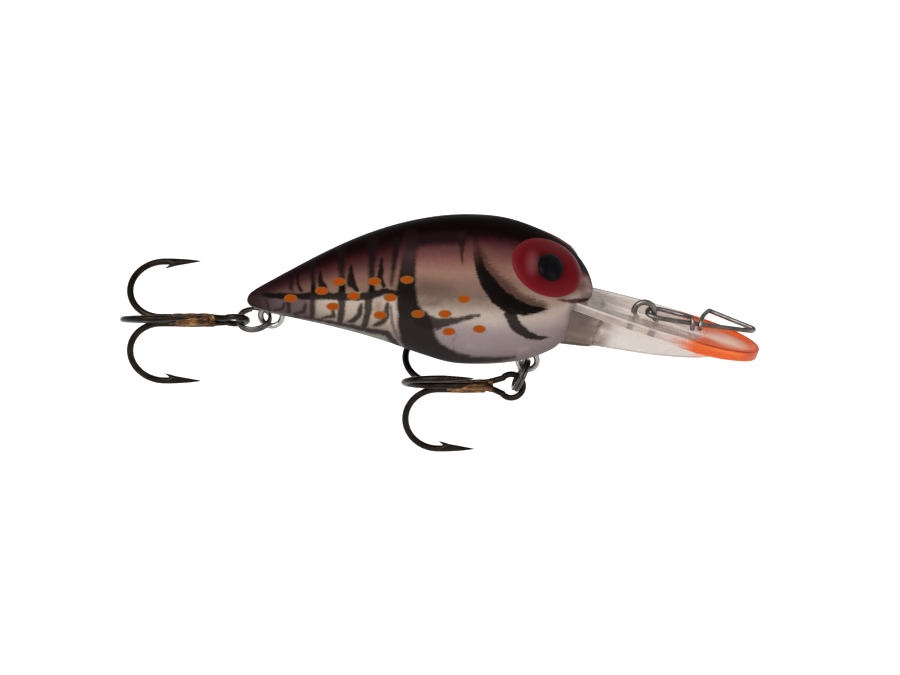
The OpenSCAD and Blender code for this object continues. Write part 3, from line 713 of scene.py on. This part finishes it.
def pupil_look():
    """Black with a trace of blue, and a soft gloss."""
    k = Look("pupil_black")
    mm = k.in_mm()
    cloud = k.noise(mm, 1.4, 3.0, 0.6)
    colour = k.ramp(cloud, [(0.3, (5, 4, 7)), (0.7, (12, 11, 17))])
    gloss = k.remap(cloud, 0.2, 0.8, 0.24, 0.34, kind="LINEAR")
    return k.finish(Base_Color=colour, Roughness=gloss, Specular_IOR_Level=0.07, bump=(cloud, 0.004))


# The lip's slope in degrees and its width. The plate is LIP_FLOOR thick and its rims stand LIP_RIM higher
LIP_SLOPE = 17
LIP_W = 15.2
LIP_FLOOR = 0.9
LIP_RIM = 0.35
RIM_W = 0.9
# How far the rims' top lies under the line tie's middle, and where the lip begins and ends along its slope
LIP_DROP = 0.14
LIP_ROOT = -13.5
LIP_TIP = 18.1
# How squarely the outline turns in at the tip, and where it turns so fast that it is stepped by its width
TIP_POWER = 3.4
TIP_TURN = 11.5
# Where the root begins to taper, and its half width at its end
ROOT_TAPER = -10
ROOT_HALF = 4.6


def lip_half(s):
    """Half width of the lip at a distance forward of the line tie."""
    full = LIP_W / 2
    if s < 1:
        return full - (full - 5.6) * ((1 - s) / 11) ** 1.4
    return full * max(0.0, 1 - ((s - 1) / (LIP_TIP - 1)) ** TIP_POWER) ** 0.5


def on_lip(p):
    """From the lip's own flat frame (along, across, up from its underside) to the lure's."""
    q = np.asarray(p, float) - [0, 0, LIP_DROP + LIP_RIM + LIP_FLOOR]
    return turned_y(q, LIP_SLOPE)


def lip_look():
    """Clear moulded plastic, hazy and slightly brown, with painted highlights on its edges; its tip is
    sprayed orange, with a painted highlight and painted edge shade.
    """
    k = Look("clear_lip")
    mm = k.in_mm()
    level = k.put("ShaderNodeVectorRotate", {"Vector": mm, "Angle": math.radians(-LIP_SLOPE)}, "Vector",
                  rotation_type="Y_AXIS")
    s, y, up = k.parts(level)
    aside = k.calc("ABSOLUTE", y)
    flow = k.noise(k.vec("MULTIPLY", level, (0.22, 0.75, 0.75)), 1.0, 3.0, 0.6)
    fine = k.noise(mm, 6.0, 2.0, 0.6)
    smoke = k.ramp(flow, [(0.32, (196, 174, 162)), (0.5, (224, 206, 195)), (0.7, (240, 230, 222))])
    # Browner in the thick root, paler in the thin web
    root = k.remap(k.scaled(flow, 5.0, s), 1.2, -4.6)
    deep = k.times(root, k.remap(up, -1.0, -2.2, 0.3, 1.0))
    smoke = k.tint(smoke, deep, 0.9, (98, 76, 64))
    web = k.times(k.remap(up, -2.2, -3.0), k.remap(s, -4.6, -3.0))
    smoke = k.tint(smoke, web, 0.85, (213, 206, 200))
    # Painted highlights: pale lines along the plate's edge and along the inner edge of its rim
    places = (-14, -10, -6, -2, 1, 5, 8, 11, 13, 15, 16.5, 17.6)
    half = k.curve(s, [(x, lip_half(x)) for x in places], (-14, 18), (0, 9))
    inset = k.minus(half, aside)
    outer = k.remap(k.calc("ABSOLUTE", k.minus(inset, 0.12)), 0.2, 0.06)
    inner = k.remap(k.calc("ABSOLUTE", k.minus(inset, 0.86)), 0.2, 0.06)
    top_edge = k.remap(up, -0.5, -0.3)
    under_edge = k.remap(k.calc("ABSOLUTE", k.calc("ADD", up, 1.42)), 0.2, 0.08)
    edge_highlight = k.times(outer, k.calc("MAXIMUM", top_edge, under_edge))
    edge_highlight = k.calc("MAXIMUM", edge_highlight, k.times(inner, k.remap(up, -0.9, -0.6)))
    # The spray reaches further back along the rims; over the middle of the tip's top it turns pale, a painted
    # highlight
    ahead = k.scaled(aside, 0.5, s)
    ahead = k.scaled(flow, 2.0, ahead)
    tip = k.remap(ahead, 9.6, 12.4)
    # Shares of a 4.5 by 4.2 mm oval about the place 13 mm along
    mid_s = k.scaled(s, 0.22, -2.86)
    mid_y = k.times(y, 0.24)
    mid = k.vec("LENGTH", k.flat(mid_s, mid_y))
    # Painted highlight: the orange turns pale over this oval
    tip_highlight = k.remap(k.scaled(flow, 0.5, mid), 1.35, 0.62)
    orange = k.tint(shade(250, 103, 16), tip_highlight, 0.85, (255, 238, 216))
    # Painted shade: darker orange along the rims' inner edge and the outer edge's top, toward the tip
    rim_edge_shade = k.calc("MAXIMUM", inner, k.times(outer, top_edge))
    rim_edge_shade = k.times(rim_edge_shade, k.remap(s, 7.0, 9.0))
    orange = k.tint(orange, rim_edge_shade, 0.9, (176, 52, 12))
    # The painted edge highlights laid over the plastic's colour
    colour = k.tint(smoke, edge_highlight, 0.7, (240, 237, 234))
    colour = k.mix(tip, colour, orange)
    clear = k.scaled(edge_highlight, -0.35, 0.72)
    clear = k.scaled(root, -0.2, clear)
    clear = k.times(clear, k.scaled(tip, -0.15, 1.0))
    gloss = k.remap(flow, 0.2, 0.8, 0.08, 0.18, kind="LINEAR")
    gloss = k.scaled(tip, 0.2, gloss)
    return k.finish(Base_Color=colour, Roughness=gloss, IOR=1.45, Transmission_Weight=clear,
                    bump=(k.scaled(fine, 0.1, flow), 0.04))


def floor_look():
    """White paper that gives off some light of its own, so that it stays pale."""
    k = Look("floor_white")
    m = k.noise(k.coords, 3.0, 3.0, 0.6)
    colour = k.ramp(m, [(0.3, (244, 244, 244)), (0.7, (250, 250, 250))])
    return k.finish(Base_Color=colour, Roughness=0.9, Specular_IOR_Level=0.0, Emission_Color=(1, 1, 1, 1),
                    Emission_Strength=0.85)


# The centre that the eyes' surfaces grow from
HEAD = np.array([-18.6, 0.0, 2.3])
# Middles of the eye and the pupil on the paint's slanted side view, and the eye's half lengths and tilt
EYE_AT = (-14.68, 6.66)
PUPIL_AT = (-14.2, 6.68)
EYE_LONG = 5.4
EYE_SHORT = 4.2
EYE_TILT = -31
# Share of the lens's half length that its rounded edge takes up
LENS_EDGE = 0.12

paint = paint_look()
clear_lip = lip_look()
fitting_steel = metal_look("fitting_steel", (120, 116, 112), (214, 211, 207), (0.14, 0.24), along=(3, 3, 3))
tie_steel = metal_look("tie_steel", (72, 68, 65), (168, 163, 158), (0.12, 0.22), along=(3, 3, 3))
dark_nickel = metal_look("dark_nickel", (46, 43, 40), (122, 116, 111), (0.12, 0.22), along=(3, 3, 3))
hook_bronze = metal_look("hook_bronze", (20, 17, 15), (60, 51, 43), (0.22, 0.36), along=(2, 4, 4))
bright_braze = braze_look()
snap_steel = metal_look("snap_steel", (76, 72, 70), (158, 154, 150), (0.1, 0.2), along=(2, 4, 4))
red_eye = eye_look()
black_pupil = pupil_look()
lead = metal_look("ballast_lead", (70, 72, 76), (128, 130, 134), (0.4, 0.6), bump=0.05, scale=1.6)
ball_steel = metal_look("ball_steel", (140, 140, 142), (214, 214, 216), (0.1, 0.2))


# ---- Body ----

for side, node in ((-1, "shell_right"), (1, "shell_left")):
    half = make_piece(node + "_skin", [body_half(side)], paint, sharp=50)
    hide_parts(node)
    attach(half, "lure")


# ---- Eyes ----

def on_head(x, v, growth, side):
    """The place on the head, grown about its centre, at x that has height v in the paint's slanted view."""
    lo, hi = np.zeros(x.shape), np.full(x.shape, 13.0)
    for _ in range(40):
        mid = (lo + hi) / 2
        p = np.stack([x, mid, v + SLANT * mid], -1)
        inside = skin_level((p - HEAD) / growth[..., None] + HEAD) < 1
        lo, hi = np.where(inside, mid, lo), np.where(inside, hi, mid)
    return np.stack([x, side * lo, v + SLANT * lo], -1)


def oval_piece(centre, long_half, short_half, tilt, profile, side):
    """A closed oval lens. The profile is (share of the way out, height over the skin as growth)."""
    n = 96
    angle = clock(n)
    c, s = math.cos(math.radians(tilt)), math.sin(math.radians(tilt))
    rings = []
    for r, g in profile:
        along, over = r * long_half * np.cos(angle), r * short_half * np.sin(angle)
        x, v = centre[0] + along * c - over * s, centre[1] + along * s + over * c
        # Near the back's ridge the piece lies almost flush
        flush = 1 - 0.85 * smoothstep(8.6, 11.4, v)
        rings.append(on_head(x, v, 1 + (g - 1) * (flush if g > 1 else np.ones(n)), side))
    return closed_tube(rings[0].mean(0), rings, rings[-1].mean(0))


for side, word in ((-1, "right"), (1, "left")):
    # The lens stands 2% over the skin at its rim and nearly 5% at its middle, and its edge rolls over
    profile = []
    for r in [*np.linspace(0.02, 1 - LENS_EDGE, 16),
              *(1 - LENS_EDGE * (1 - np.sin(np.linspace(0.15, 1.5, 9))))]:
        edge = max(0.0, (r - 1 + LENS_EDGE) / LENS_EDGE)
        profile.append((r, 1.022 + 0.026 * (1 - r * r) - 0.024 * (1 - math.sqrt(max(0.0, 1 - edge ** 2)))))
    profile += [(1.0, 0.985), (0.97, 0.955), (0.7, 0.93), (0.1, 0.925)]
    lens = oval_piece(EYE_AT, EYE_LONG, EYE_SHORT, EYE_TILT, profile, side)
    eye = make_piece("eye_" + word + "_lens", [lens], red_eye)
    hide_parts("eye_" + word)
    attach(eye, "lure")
    profile = [(math.sin(t), 1.04 + 0.055 * math.cos(t)) for t in np.linspace(0.05, 1.5, 18)]
    profile += [(1.0, 1.02), (0.96, 0.98), (0.3, 0.975)]
    dome = oval_piece(PUPIL_AT, 2.16, 1.84, -72, profile, side)
    pupil = make_piece("pupil_" + word + "_dome", [dome], black_pupil)
    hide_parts("pupil_" + word)
    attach(pupil, "lure")


# ---- Lip ----

def lip_plate():
    """The plate with its raised, rounded rims, as one closed grid over its outline."""
    straight = np.linspace(LIP_ROOT, TIP_TURN, 44)
    share = lip_half(TIP_TURN) / (LIP_W / 2)
    share = np.cos(np.linspace(math.acos(share), math.pi / 2, 34))[1:]
    tip = 1 + (LIP_TIP - 1) * (1 - share ** 2) ** (1 / TIP_POWER)
    stations = np.concatenate([straight, tip[:-1]])
    taper = (lip_half(ROOT_TAPER) - ROOT_HALF) / (ROOT_TAPER - LIP_ROOT)
    widths = np.array([ROOT_HALF + taper * (s - LIP_ROOT) if s < ROOT_TAPER else lip_half(s)
                       for s in stations])
    outline = np.concatenate([np.stack([stations, widths], 1), [[LIP_TIP, 0.0]]])
    across = np.sin(np.linspace(-math.pi / 2, math.pi / 2, 61))
    s = np.repeat(stations[:, None], len(across), 1)
    y = widths[:, None] * across[None, :]
    dist = to_line(np.stack([s, np.abs(y)], -1), outline)
    corner = 0.24
    round_off = corner - np.sqrt(np.maximum(corner ** 2 - np.maximum(corner - dist, 0) ** 2, 0))
    rimmed = LIP_FLOOR + LIP_RIM * smoothstep(RIM_W + 0.12, RIM_W - 0.2, dist)
    rimmed = np.where(s < -8.8, LIP_FLOOR + LIP_RIM, rimmed)
    # The underside sinks away forward and comes back a little toward the tip
    top, under = rimmed - round_off, round_off - 0.5 * smoothstep(0, 9, s) + 0.12 * smoothstep(11, 15, s)
    rings = []
    for i in range(len(stations)):
        over, back = (np.stack([s[i], y[i], z], 1) for z in (top[i], under[i]))
        rings.append(np.concatenate([over, back[::-1]]))
    points, faces = closed_tube([LIP_ROOT, 0, 0.6], rings, [LIP_TIP, 0, 0.62])
    return on_lip(points), faces


def keel():
    """The web under the plate: a thick root with a rounded boss, then a thin fin to the tip."""
    table = np.array([  # along, depth, half width at the plate, half width at the foot
        [-12.5, 6.9, 3.5, 1.6], [-9.5, 6.45, 3.35, 1.45], [-6.6, 5.95, 3.15, 1.25], [-5.9, 5.8, 2.2, 0.75],
        [-5.2, 5.65, 1.75, 0.62], [-2.0, 5.25, 1.55, 0.62], [4.0, 4.4, 1.2, 0.55], [10.0, 2.95, 0.9, 0.48],
        [14.6, 0.9, 0.65, 0.38]])
    lines = smooth(table, 8)
    rings = []
    for s, depth, top, foot in lines:
        left = []
        for t in np.linspace(0, 1, 12):
            half = top + (foot - top) * min(1.0, t * 1.25) ** 0.8
            left.append((half, -depth * t))
        bend = np.linspace(0, math.pi / 2, 5)[1:]
        r = min(0.35, foot * 0.9, depth * 0.4)
        rounded = [(foot - r + r * math.cos(a), -depth + r - r * math.sin(a)) for a in bend]
        side_line = left[:-1] + rounded
        around = [(s, h, d + 0.02) for h, d in side_line] + [(s, -h, d + 0.02) for h, d in side_line[::-1]]
        # The web's top stands inside the plate, so that the two join
        inside = [(s, -h, 0.35) for h in np.linspace(top, -top, 6)]
        rings.append(np.array(around + inside))
    points, faces = closed_tube(rings[0].mean(0), rings, rings[-1].mean(0))
    return on_lip(points), faces


def join_solids(name, solids, material, sharp):
    """One clean solid from overlapping ones."""
    made = [make_piece(name if i == 0 else f"{name}_{i}", [s], material) for i, s in enumerate(solids)]
    for extra in made[1:]:
        mod = made[0].modifiers.new("join", "BOOLEAN")
        mod.operation, mod.solver, mod.object = "UNION", "EXACT", extra
        graph = bpy.context.evaluated_depsgraph_get()
        mesh = bpy.data.meshes.new_from_object(made[0].evaluated_get(graph))
        made[0].modifiers.clear()
        made[0].data = mesh
        bpy.data.objects.remove(extra)
    mesh = made[0].data
    mesh.polygons.foreach_set("use_smooth", [True] * len(mesh.polygons))
    mesh.set_sharp_from_angle(angle=math.radians(sharp))
    return made[0]


boss = lathe([(0.3, 0), (0.3, 1.15), (-0.4, 1.15), (-4.6, 1.05), (-4.95, 0.9), (-5.1, 0.55), (-5.15, 0)],
             [0, 0, 1], [-5.7, 0, 0], 32)
boss = (on_lip(boss[0]), [f[::-1] for f in boss[1]])
lip = join_solids("diving_lip_clear", [lip_plate(), keel(), boss], clear_lip, 38)
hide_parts("diving_lip")
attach(lip, "lure")


# ---- Line tie and hook hangers ----

HANGER_R = 0.445
TIE_R = 1.5
arc = np.radians(np.arange(180, -1, -5))
arch = np.stack([TIE_R * np.cos(arc), 0 * arc, TIE_R * np.sin(arc)], 1)
arch = np.vstack([[[-TIE_R, 0, z] for z in (-2.2, -1.4, -0.6)], arch,
                  [[TIE_R, 0, z] for z in (-0.6, -1.6, -2.7)]])
tie = make_piece("line_tie_wire", [wire(arch, HANGER_R, (0, 1, 0), 24)], tie_steel, 45)
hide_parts("line_tie")
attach(tie, "lure")


def loop(centre, r, n=72):
    a = clock(n)
    return np.asarray(centre) + np.stack([r * np.cos(a), 0 * a, r * np.sin(a)], 1)


BELLY_EYE = np.array([-17.2, 0, -7.55])
TAIL_EYE = np.array([-55.2, 0, -0.55])
for name, at, r, up in (("belly_hanger", BELLY_EYE, 1.4, [0, 0, 2.9]),
                        ("tail_hanger", TAIL_EYE, 1.6, [1.9, 0, 2.2])):
    rings = [wire(loop(at, r), HANGER_R, (0, 1, 0), 20, closed=True),
             wire(loop(at + np.array(up), 1.25), HANGER_R, (0, 1, 0), 20, closed=True)]
    hanger = make_piece(name + "_wire", rings, fitting_steel)
    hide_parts(name)
    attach(hanger, "lure")


# ---- Split rings: one wire, two turns, with a jog where its ends lie side by side ----

RING_R = 2.4
RING_WIRE = 0.27
# How far each turn's middle lies to its side of the ring's middle
RING_ASIDE = RING_WIRE * 0.93


def split_ring():
    """The wire's path, touching the eye it hangs in at the origin."""
    run = np.radians(np.arange(0, 711, 5))
    turn = run + math.radians(100)
    jog = smoothstep(math.radians(318), math.radians(402), run)
    z = -RING_ASIDE + 2 * RING_ASIDE * jog
    return np.stack([-RING_R + RING_R * np.cos(turn), RING_R * np.sin(turn), z], 1)


for where, ring_path in (("belly", turned_y(split_ring(), -66) + BELLY_EYE),
                         ("tail", turned_y(turned_x(split_ring(), 25), -5) + [-55.4, 0, -0.85])):
    coil = wire(ring_path, RING_WIRE, (0, 0, 1), 18, cap=0.25)
    ring = make_piece(where + "_split_ring_coil", [coil], dark_nickel, 45)
    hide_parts(where + "_split_ring")
    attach(ring, where + "_ring")


# ---- Treble hooks ----

HOOK_R = 0.5
EYE_WIRE_R = 0.465
GAPE = 10.315
HOOK_LEN = 15.865
SPREAD = 0.95 / math.sqrt(3)
BEND_R = (GAPE - SPREAD) / 2
BEND_X = BEND_R - HOOK_LEN
# The point's length past the bend, where its forging begins, and how far its inner edge then stands out
POINT = 5.4
FORGED_FROM = 0.6
SPEAR = 0.98
# The barb from its root to its tip: along the point, off its middle, half thickness and half width
BARB = [(1.9, 0.40, 0.34, 0.27), (1.35, 0.56, 0.40, 0.25), (0.95, 0.70, 0.40, 0.21), (0.6, 0.90, 0.27, 0.15),
        (0.3, 1.08, 0.14, 0.08)]
# The eye's loop, where its ends are round it, where its wire leaves the shank, and the fork between them
EYE_LOOP = 1.78
EYE_OPEN = 142
FORK_X = -4.1
FORK_LEN = 2.7


def spoke(p, roll):
    """From one hook's own plane (along the shank, out from the axis) to the treble's space."""
    a = math.radians(roll)
    p = np.asarray(p, float)
    return np.stack([p[..., 0], p[..., 1] * math.sin(a), p[..., 1] * math.cos(a)], -1)


def hook(roll):
    """One hook's wire, forged flat a little round the bend and into a spear point, and its barb."""
    lead_in = [[x, SPREAD] for x in np.linspace(-4.3, BEND_X, 9)[:-1]]
    a = np.radians(np.linspace(-90, -270, 37))
    bend = np.stack([BEND_X + BEND_R * np.cos(a), SPREAD + BEND_R + BEND_R * np.sin(a)], 1)
    along = np.concatenate([np.linspace(0.3, 1.5, 5), np.linspace(1.8, POINT, 15)])
    tip = [[BEND_X + s, GAPE] for s in along]
    path = np.vstack([lead_in, bend, tip])
    flat = np.gradient(path, axis=0)
    flat /= np.linalg.norm(flat, axis=1)[:, None]
    inside = np.stack([flat[:, 1], -flat[:, 0]], 1)
    n = 18
    angle = clock(n)
    side = spoke([0, 1.0], roll + 90)
    rings = []
    for i, (p, q) in enumerate(zip(path, inside)):
        s = p[0] - BEND_X if i >= len(lead_in) + len(bend) else -1.0
        turn = math.sin(math.pi * min(1.0, max(0.0, (i - len(lead_in)) / len(bend))))
        near, far, wide = HOOK_R * (1 + 0.05 * turn), HOOK_R, HOOK_R * (1 - 0.10 * turn)
        if s > FORGED_FROM:
            k = (s - FORGED_FROM) / (POINT - FORGED_FROM)
            near = HOOK_R + (SPEAR - SPEAR * k - HOOK_R) * float(smoothstep(0, 0.14, k))
            far = HOOK_R - 0.36 * k ** 2.2
            wide = HOOK_R * (1 - k) ** 0.62 + 0.02
        ring = []
        for t in angle:
            c = math.cos(t)
            off = q * (near * c if c > 0 else far * c)
            ring.append(spoke(p + off, roll) + side * wide * math.sin(t))
        rings.append(ring)
    shank = closed_tube(spoke(path[0], roll), rings, spoke(path[-1] + [0.05, 0.1], roll))
    # The barb: a flat spur cut back and lifted off the wire
    spur = []
    for s, off, thick, wide in BARB:
        ring = []
        for t in angle:
            q = np.array([BEND_X + s + 0.5 * thick * math.cos(t), GAPE - off + thick * math.cos(t)])
            ring.append(spoke(q, roll) + side * wide * math.sin(t))
        spur.append(ring)
    root, end = spoke([BEND_X + 2.3, GAPE - 0.4], roll), spoke([BEND_X + 0.02, GAPE - 1.24], roll)
    return [shank, closed_tube(root, spur, end)]


def hook_eye(roll, one, two):
    """The loop of wire from one shank round to the other."""
    a = np.radians(np.arange(EYE_OPEN, -EYE_OPEN - 1, -8))
    loop_part = [spoke([EYE_LOOP * math.cos(t), EYE_LOOP * math.sin(t)], roll + 15) for t in a]
    shank = (-6.5, -5.2, FORK_X)
    path = [spoke([x, SPREAD], one) for x in shank] + loop_part
    path += [spoke([x, SPREAD], two) for x in shank[::-1]]
    return wire(smooth(path, 3), EYE_WIRE_R, spoke([0, 1.0], one + 90), 18)


def heading_at(roll):
    """Direction across the shanks, as (y, z), of the hook that has this roll."""
    return np.array([math.sin(math.radians(roll)), math.cos(math.radians(roll))])


def braze_run(roll, seed, start, lean, end):
    """Bronze run over the shanks and into the fork of the eye. It begins further back where lean points."""
    n = 72
    angle = clock(n)
    random = np.random.default_rng(seed)
    waves = [(random.uniform(0.6, 2.2), random.integers(1, 5), random.uniform(0, 6.28)) for _ in range(7)]
    length = np.linspace(start - abs(lean) - 0.6, end, 56)
    fork = EYE_LOOP * math.sin(math.radians(EYE_OPEN)) * heading_at(roll + 15)
    rings = []
    for x in length:
        part = min(1.0, max(0.0, (x - FORK_X) / FORK_LEN))
        # The two shanks that part into the eye, and the third one, which ends at the fork
        circles = [(SPREAD * (1 - part) * heading_at(roll + 120) + part * fork, HOOK_R),
                   (SPREAD * (1 - part) * heading_at(roll - 120) - part * fork, HOOK_R),
                   (SPREAD * heading_at(roll), HOOK_R - 0.9 * float(smoothstep(FORK_X, FORK_X + 1, x)))]
        ring = []
        for t in angle:
            way = np.array([math.cos(t), math.sin(t)])
            reach = max(c @ way + r for c, r in circles)
            ripple = sum(math.sin(w * x * 1.7 + m * t + c) for w, m, c in waves) / 7
            begins = start + lean * way[1] + 0.8 * ripple
            cover = float(smoothstep(begins - 0.25, begins + 0.25, x)) * min(1.0, (end - x) / 0.4 + 0.1)
            # A little proud of the shanks where it covers them, and sunk into them elsewhere
            out = reach * 0.985 + (0.05 + 0.05 * ripple) * cover - 0.14 * (1 - cover)
            ring.append([x, out * way[0], out * way[1]])
        rings.append(np.array(ring))
    return closed_tube([length[0], 0, 0], rings, [length[-1], 0, 0])


for where, origin, single, run_at in (("belly", [-19.602, 0, -11.535], 174, (11, -7.1, 1.9, -2.7)),
                                      ("tail", [-60.63, 0, -1.268], -72, (5, -8.7, -0.4, -2.9))):
    roll = single
    one, two = roll + 120, roll - 120
    shift = np.array(origin)
    parts = hook(one) + hook(two) + [hook_eye(roll, one, two)]
    pair = make_piece(where + "_double_hook_wire", [(p + shift, f) for p, f in parts], hook_bronze, 50)
    alone = make_piece(where + "_single_hook_wire", [(p + shift, f) for p, f in hook(roll)], hook_bronze, 50)
    run = braze_run(roll, *run_at)
    run = make_piece(where + "_braze_run", [(run[0] + shift, run[1])], bright_braze)
    for piece, node, slot in ((pair, "double_hook", "hook_bronze"), (alone, "single_hook", "hook_bronze"),
                              (run, "braze", "braze")):
        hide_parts(f"{where}_{node}")
        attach(piece, where + "_treble")


# ---- Snap ----

snap_points = [
    [6.85, -1.95, -0.45], [6.75, -1.55, 0.25], [6.6, -0.9, 0.74], [6.1, -0.2, 0.5], [4.6, 0.6, 0.1],
    [2.2, 1.1, 0], [0.75, 1.0, 0], [0.1, 0.55, 0], [-0.02, 0, 0], [0.1, -0.55, 0], [0.75, -1.0, 0],
    [2.2, -1.15, 0], [6, -1.05, 0], [11, -0.75, 0], [15.2, -0.45, 0], [16.0, -0.1, 0], [15.9, 0.3, 0],
    [15.2, 0.6, 0], [12.5, 1.65, 0], [9.9, 2.55, 0.1], [9.3, 2.45, 0.3], [8.7, 1.3, 0.6], [8.2, 0, 0.85],
    [7.95, -0.95, 0.74], [7.9, -1.6, 0.2], [7.95, -1.75, -0.35]]
snap_path = turned_y(turned_x(smooth(snap_points, 9), 20), 10) + [0.5, 0, 0.05]
snap = make_piece("duo_snap_wire", [wire(snap_path, 0.352, (0, 0, 1), 18, cap=0.4)], snap_steel, 45)
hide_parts("duo_snap")
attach(snap, "snap")


# ---- Inside ----

rod = [(-4.45, 0), (-4.45, 1.7), (-4.4, 2.0), (-4.2, 2.15), (4.2, 2.15), (4.4, 2.0), (4.45, 1.7), (4.45, 0)]
ballast = make_piece("ballast_weight_cast", [lathe(rod, [0, 1, 0], [-33.2, 0, -0.4])], lead, 40)
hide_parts("ballast_weight")
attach(ballast, "lure")
for side, word in ((-1, "right"), (1, "left")):
    a = np.linspace(-math.pi / 2, math.pi / 2, 25)
    ball = lathe([(1.79 * math.sin(t), 1.79 * math.cos(t)) for t in a], [0, 1, 0], [-24.45, side * 2.9, -3.1])
    ball = make_piece("rattle_ball_" + word + "_steel", [ball], ball_steel)
    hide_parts("rattle_ball_" + word)
    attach(ball, "rattle_" + word)


# ---- Floor, light and camera ----

def floor_mesh():
    """A wide flat floor below the hooks, worked out in metres and given in millimetres."""
    n, reach, level = 40, 3.2, -0.062
    line = np.linspace(-reach, reach, n)
    x, y = np.meshgrid(line, line, indexing="ij")
    pts = np.stack([x, y, np.full(x.shape, level)], -1).reshape(-1, 3)
    corners = [i * n + j for i in range(n - 1) for j in range(n - 1)]
    return pts / MM, [[c, c + n, c + n + 1, c + 1] for c in corners]


floor = make_piece("studio_floor", [floor_mesh()], floor_look())
floor.visible_glossy = False
floor.visible_diffuse = False

target = Vector((MIDDLE[0], 0, MIDDLE[1])) * MM


def softbox(name, place, size, power):
    """A soft square light at a place off the target, turned to face it."""
    data = bpy.data.lights.new(name, "AREA")
    data.shape = "RECTANGLE"
    data.size, data.size_y = size
    data.energy = power
    light = bpy.data.objects.new(name, data)
    light.location = target + Vector(place)
    light.rotation_euler = (-Vector(place)).to_track_quat("-Z", "Y").to_euler()
    scene.collection.objects.link(light)


softbox("key_light", (-0.26, -0.42, 0.34), (0.32, 0.24), 0.8)
softbox("fill_light", (0.42, -0.30, 0.16), (0.3, 0.3), 0.3)
softbox("back_light", (-0.10, 0.46, 0.0), (0.32, 0.32), 0.3)
sun_data = bpy.data.lights.new("broad_light", "SUN")
sun_data.energy = 0.8
sun_data.angle = math.radians(50)
sun = bpy.data.objects.new("broad_light", sun_data)
sun.rotation_euler = Vector((0.25, 0.75, -0.62)).to_track_quat("-Z", "Y").to_euler()
scene.collection.objects.link(sun)

world = bpy.data.worlds.new("studio")
scene.world = world
world.use_nodes = True
k = Nodes(world.node_tree)
rays = k.tree.nodes.new("ShaderNodeLightPath").outputs
seen = k.calc("MAXIMUM", rays["Is Camera Ray"], rays["Is Transmission Ray"])
up = k.parts(k.put("ShaderNodeTexCoord", {}, "Generated"))[2]
# Light bounced up from a white table, dim walls and ceiling, and plain white where it is seen
room = k.put("ShaderNodeMapRange", {"Value": up, "From Min": -0.3, "From Max": 0.15, "To Min": 0.95,
                                    "To Max": 0.36})
dim = k.put("ShaderNodeBackground", {"Color": (1, 1, 1, 1), "Strength": room})
white = k.put("ShaderNodeBackground", {"Color": (1, 1, 1, 1), "Strength": 1.0})
both = k.put("ShaderNodeMixShader", {0: seen, 1: dim, 2: white})
k.put("ShaderNodeOutputWorld", {0: both}, None)

CAMERA_AWAY = 0.4
camera_data = bpy.data.cameras.new("camera")
camera_data.sensor_width = 36
camera_data.lens = 107.7
camera = bpy.data.objects.new("camera", camera_data)
tilt = math.radians(17)
camera.location = target + Vector((0, -math.cos(tilt), math.sin(tilt))) * CAMERA_AWAY
camera.rotation_euler = (target - camera.location).to_track_quat("-Z", "Y").to_euler()
scene.collection.objects.link(camera)
scene.camera = camera
scene.view_settings.view_transform = "Standard"
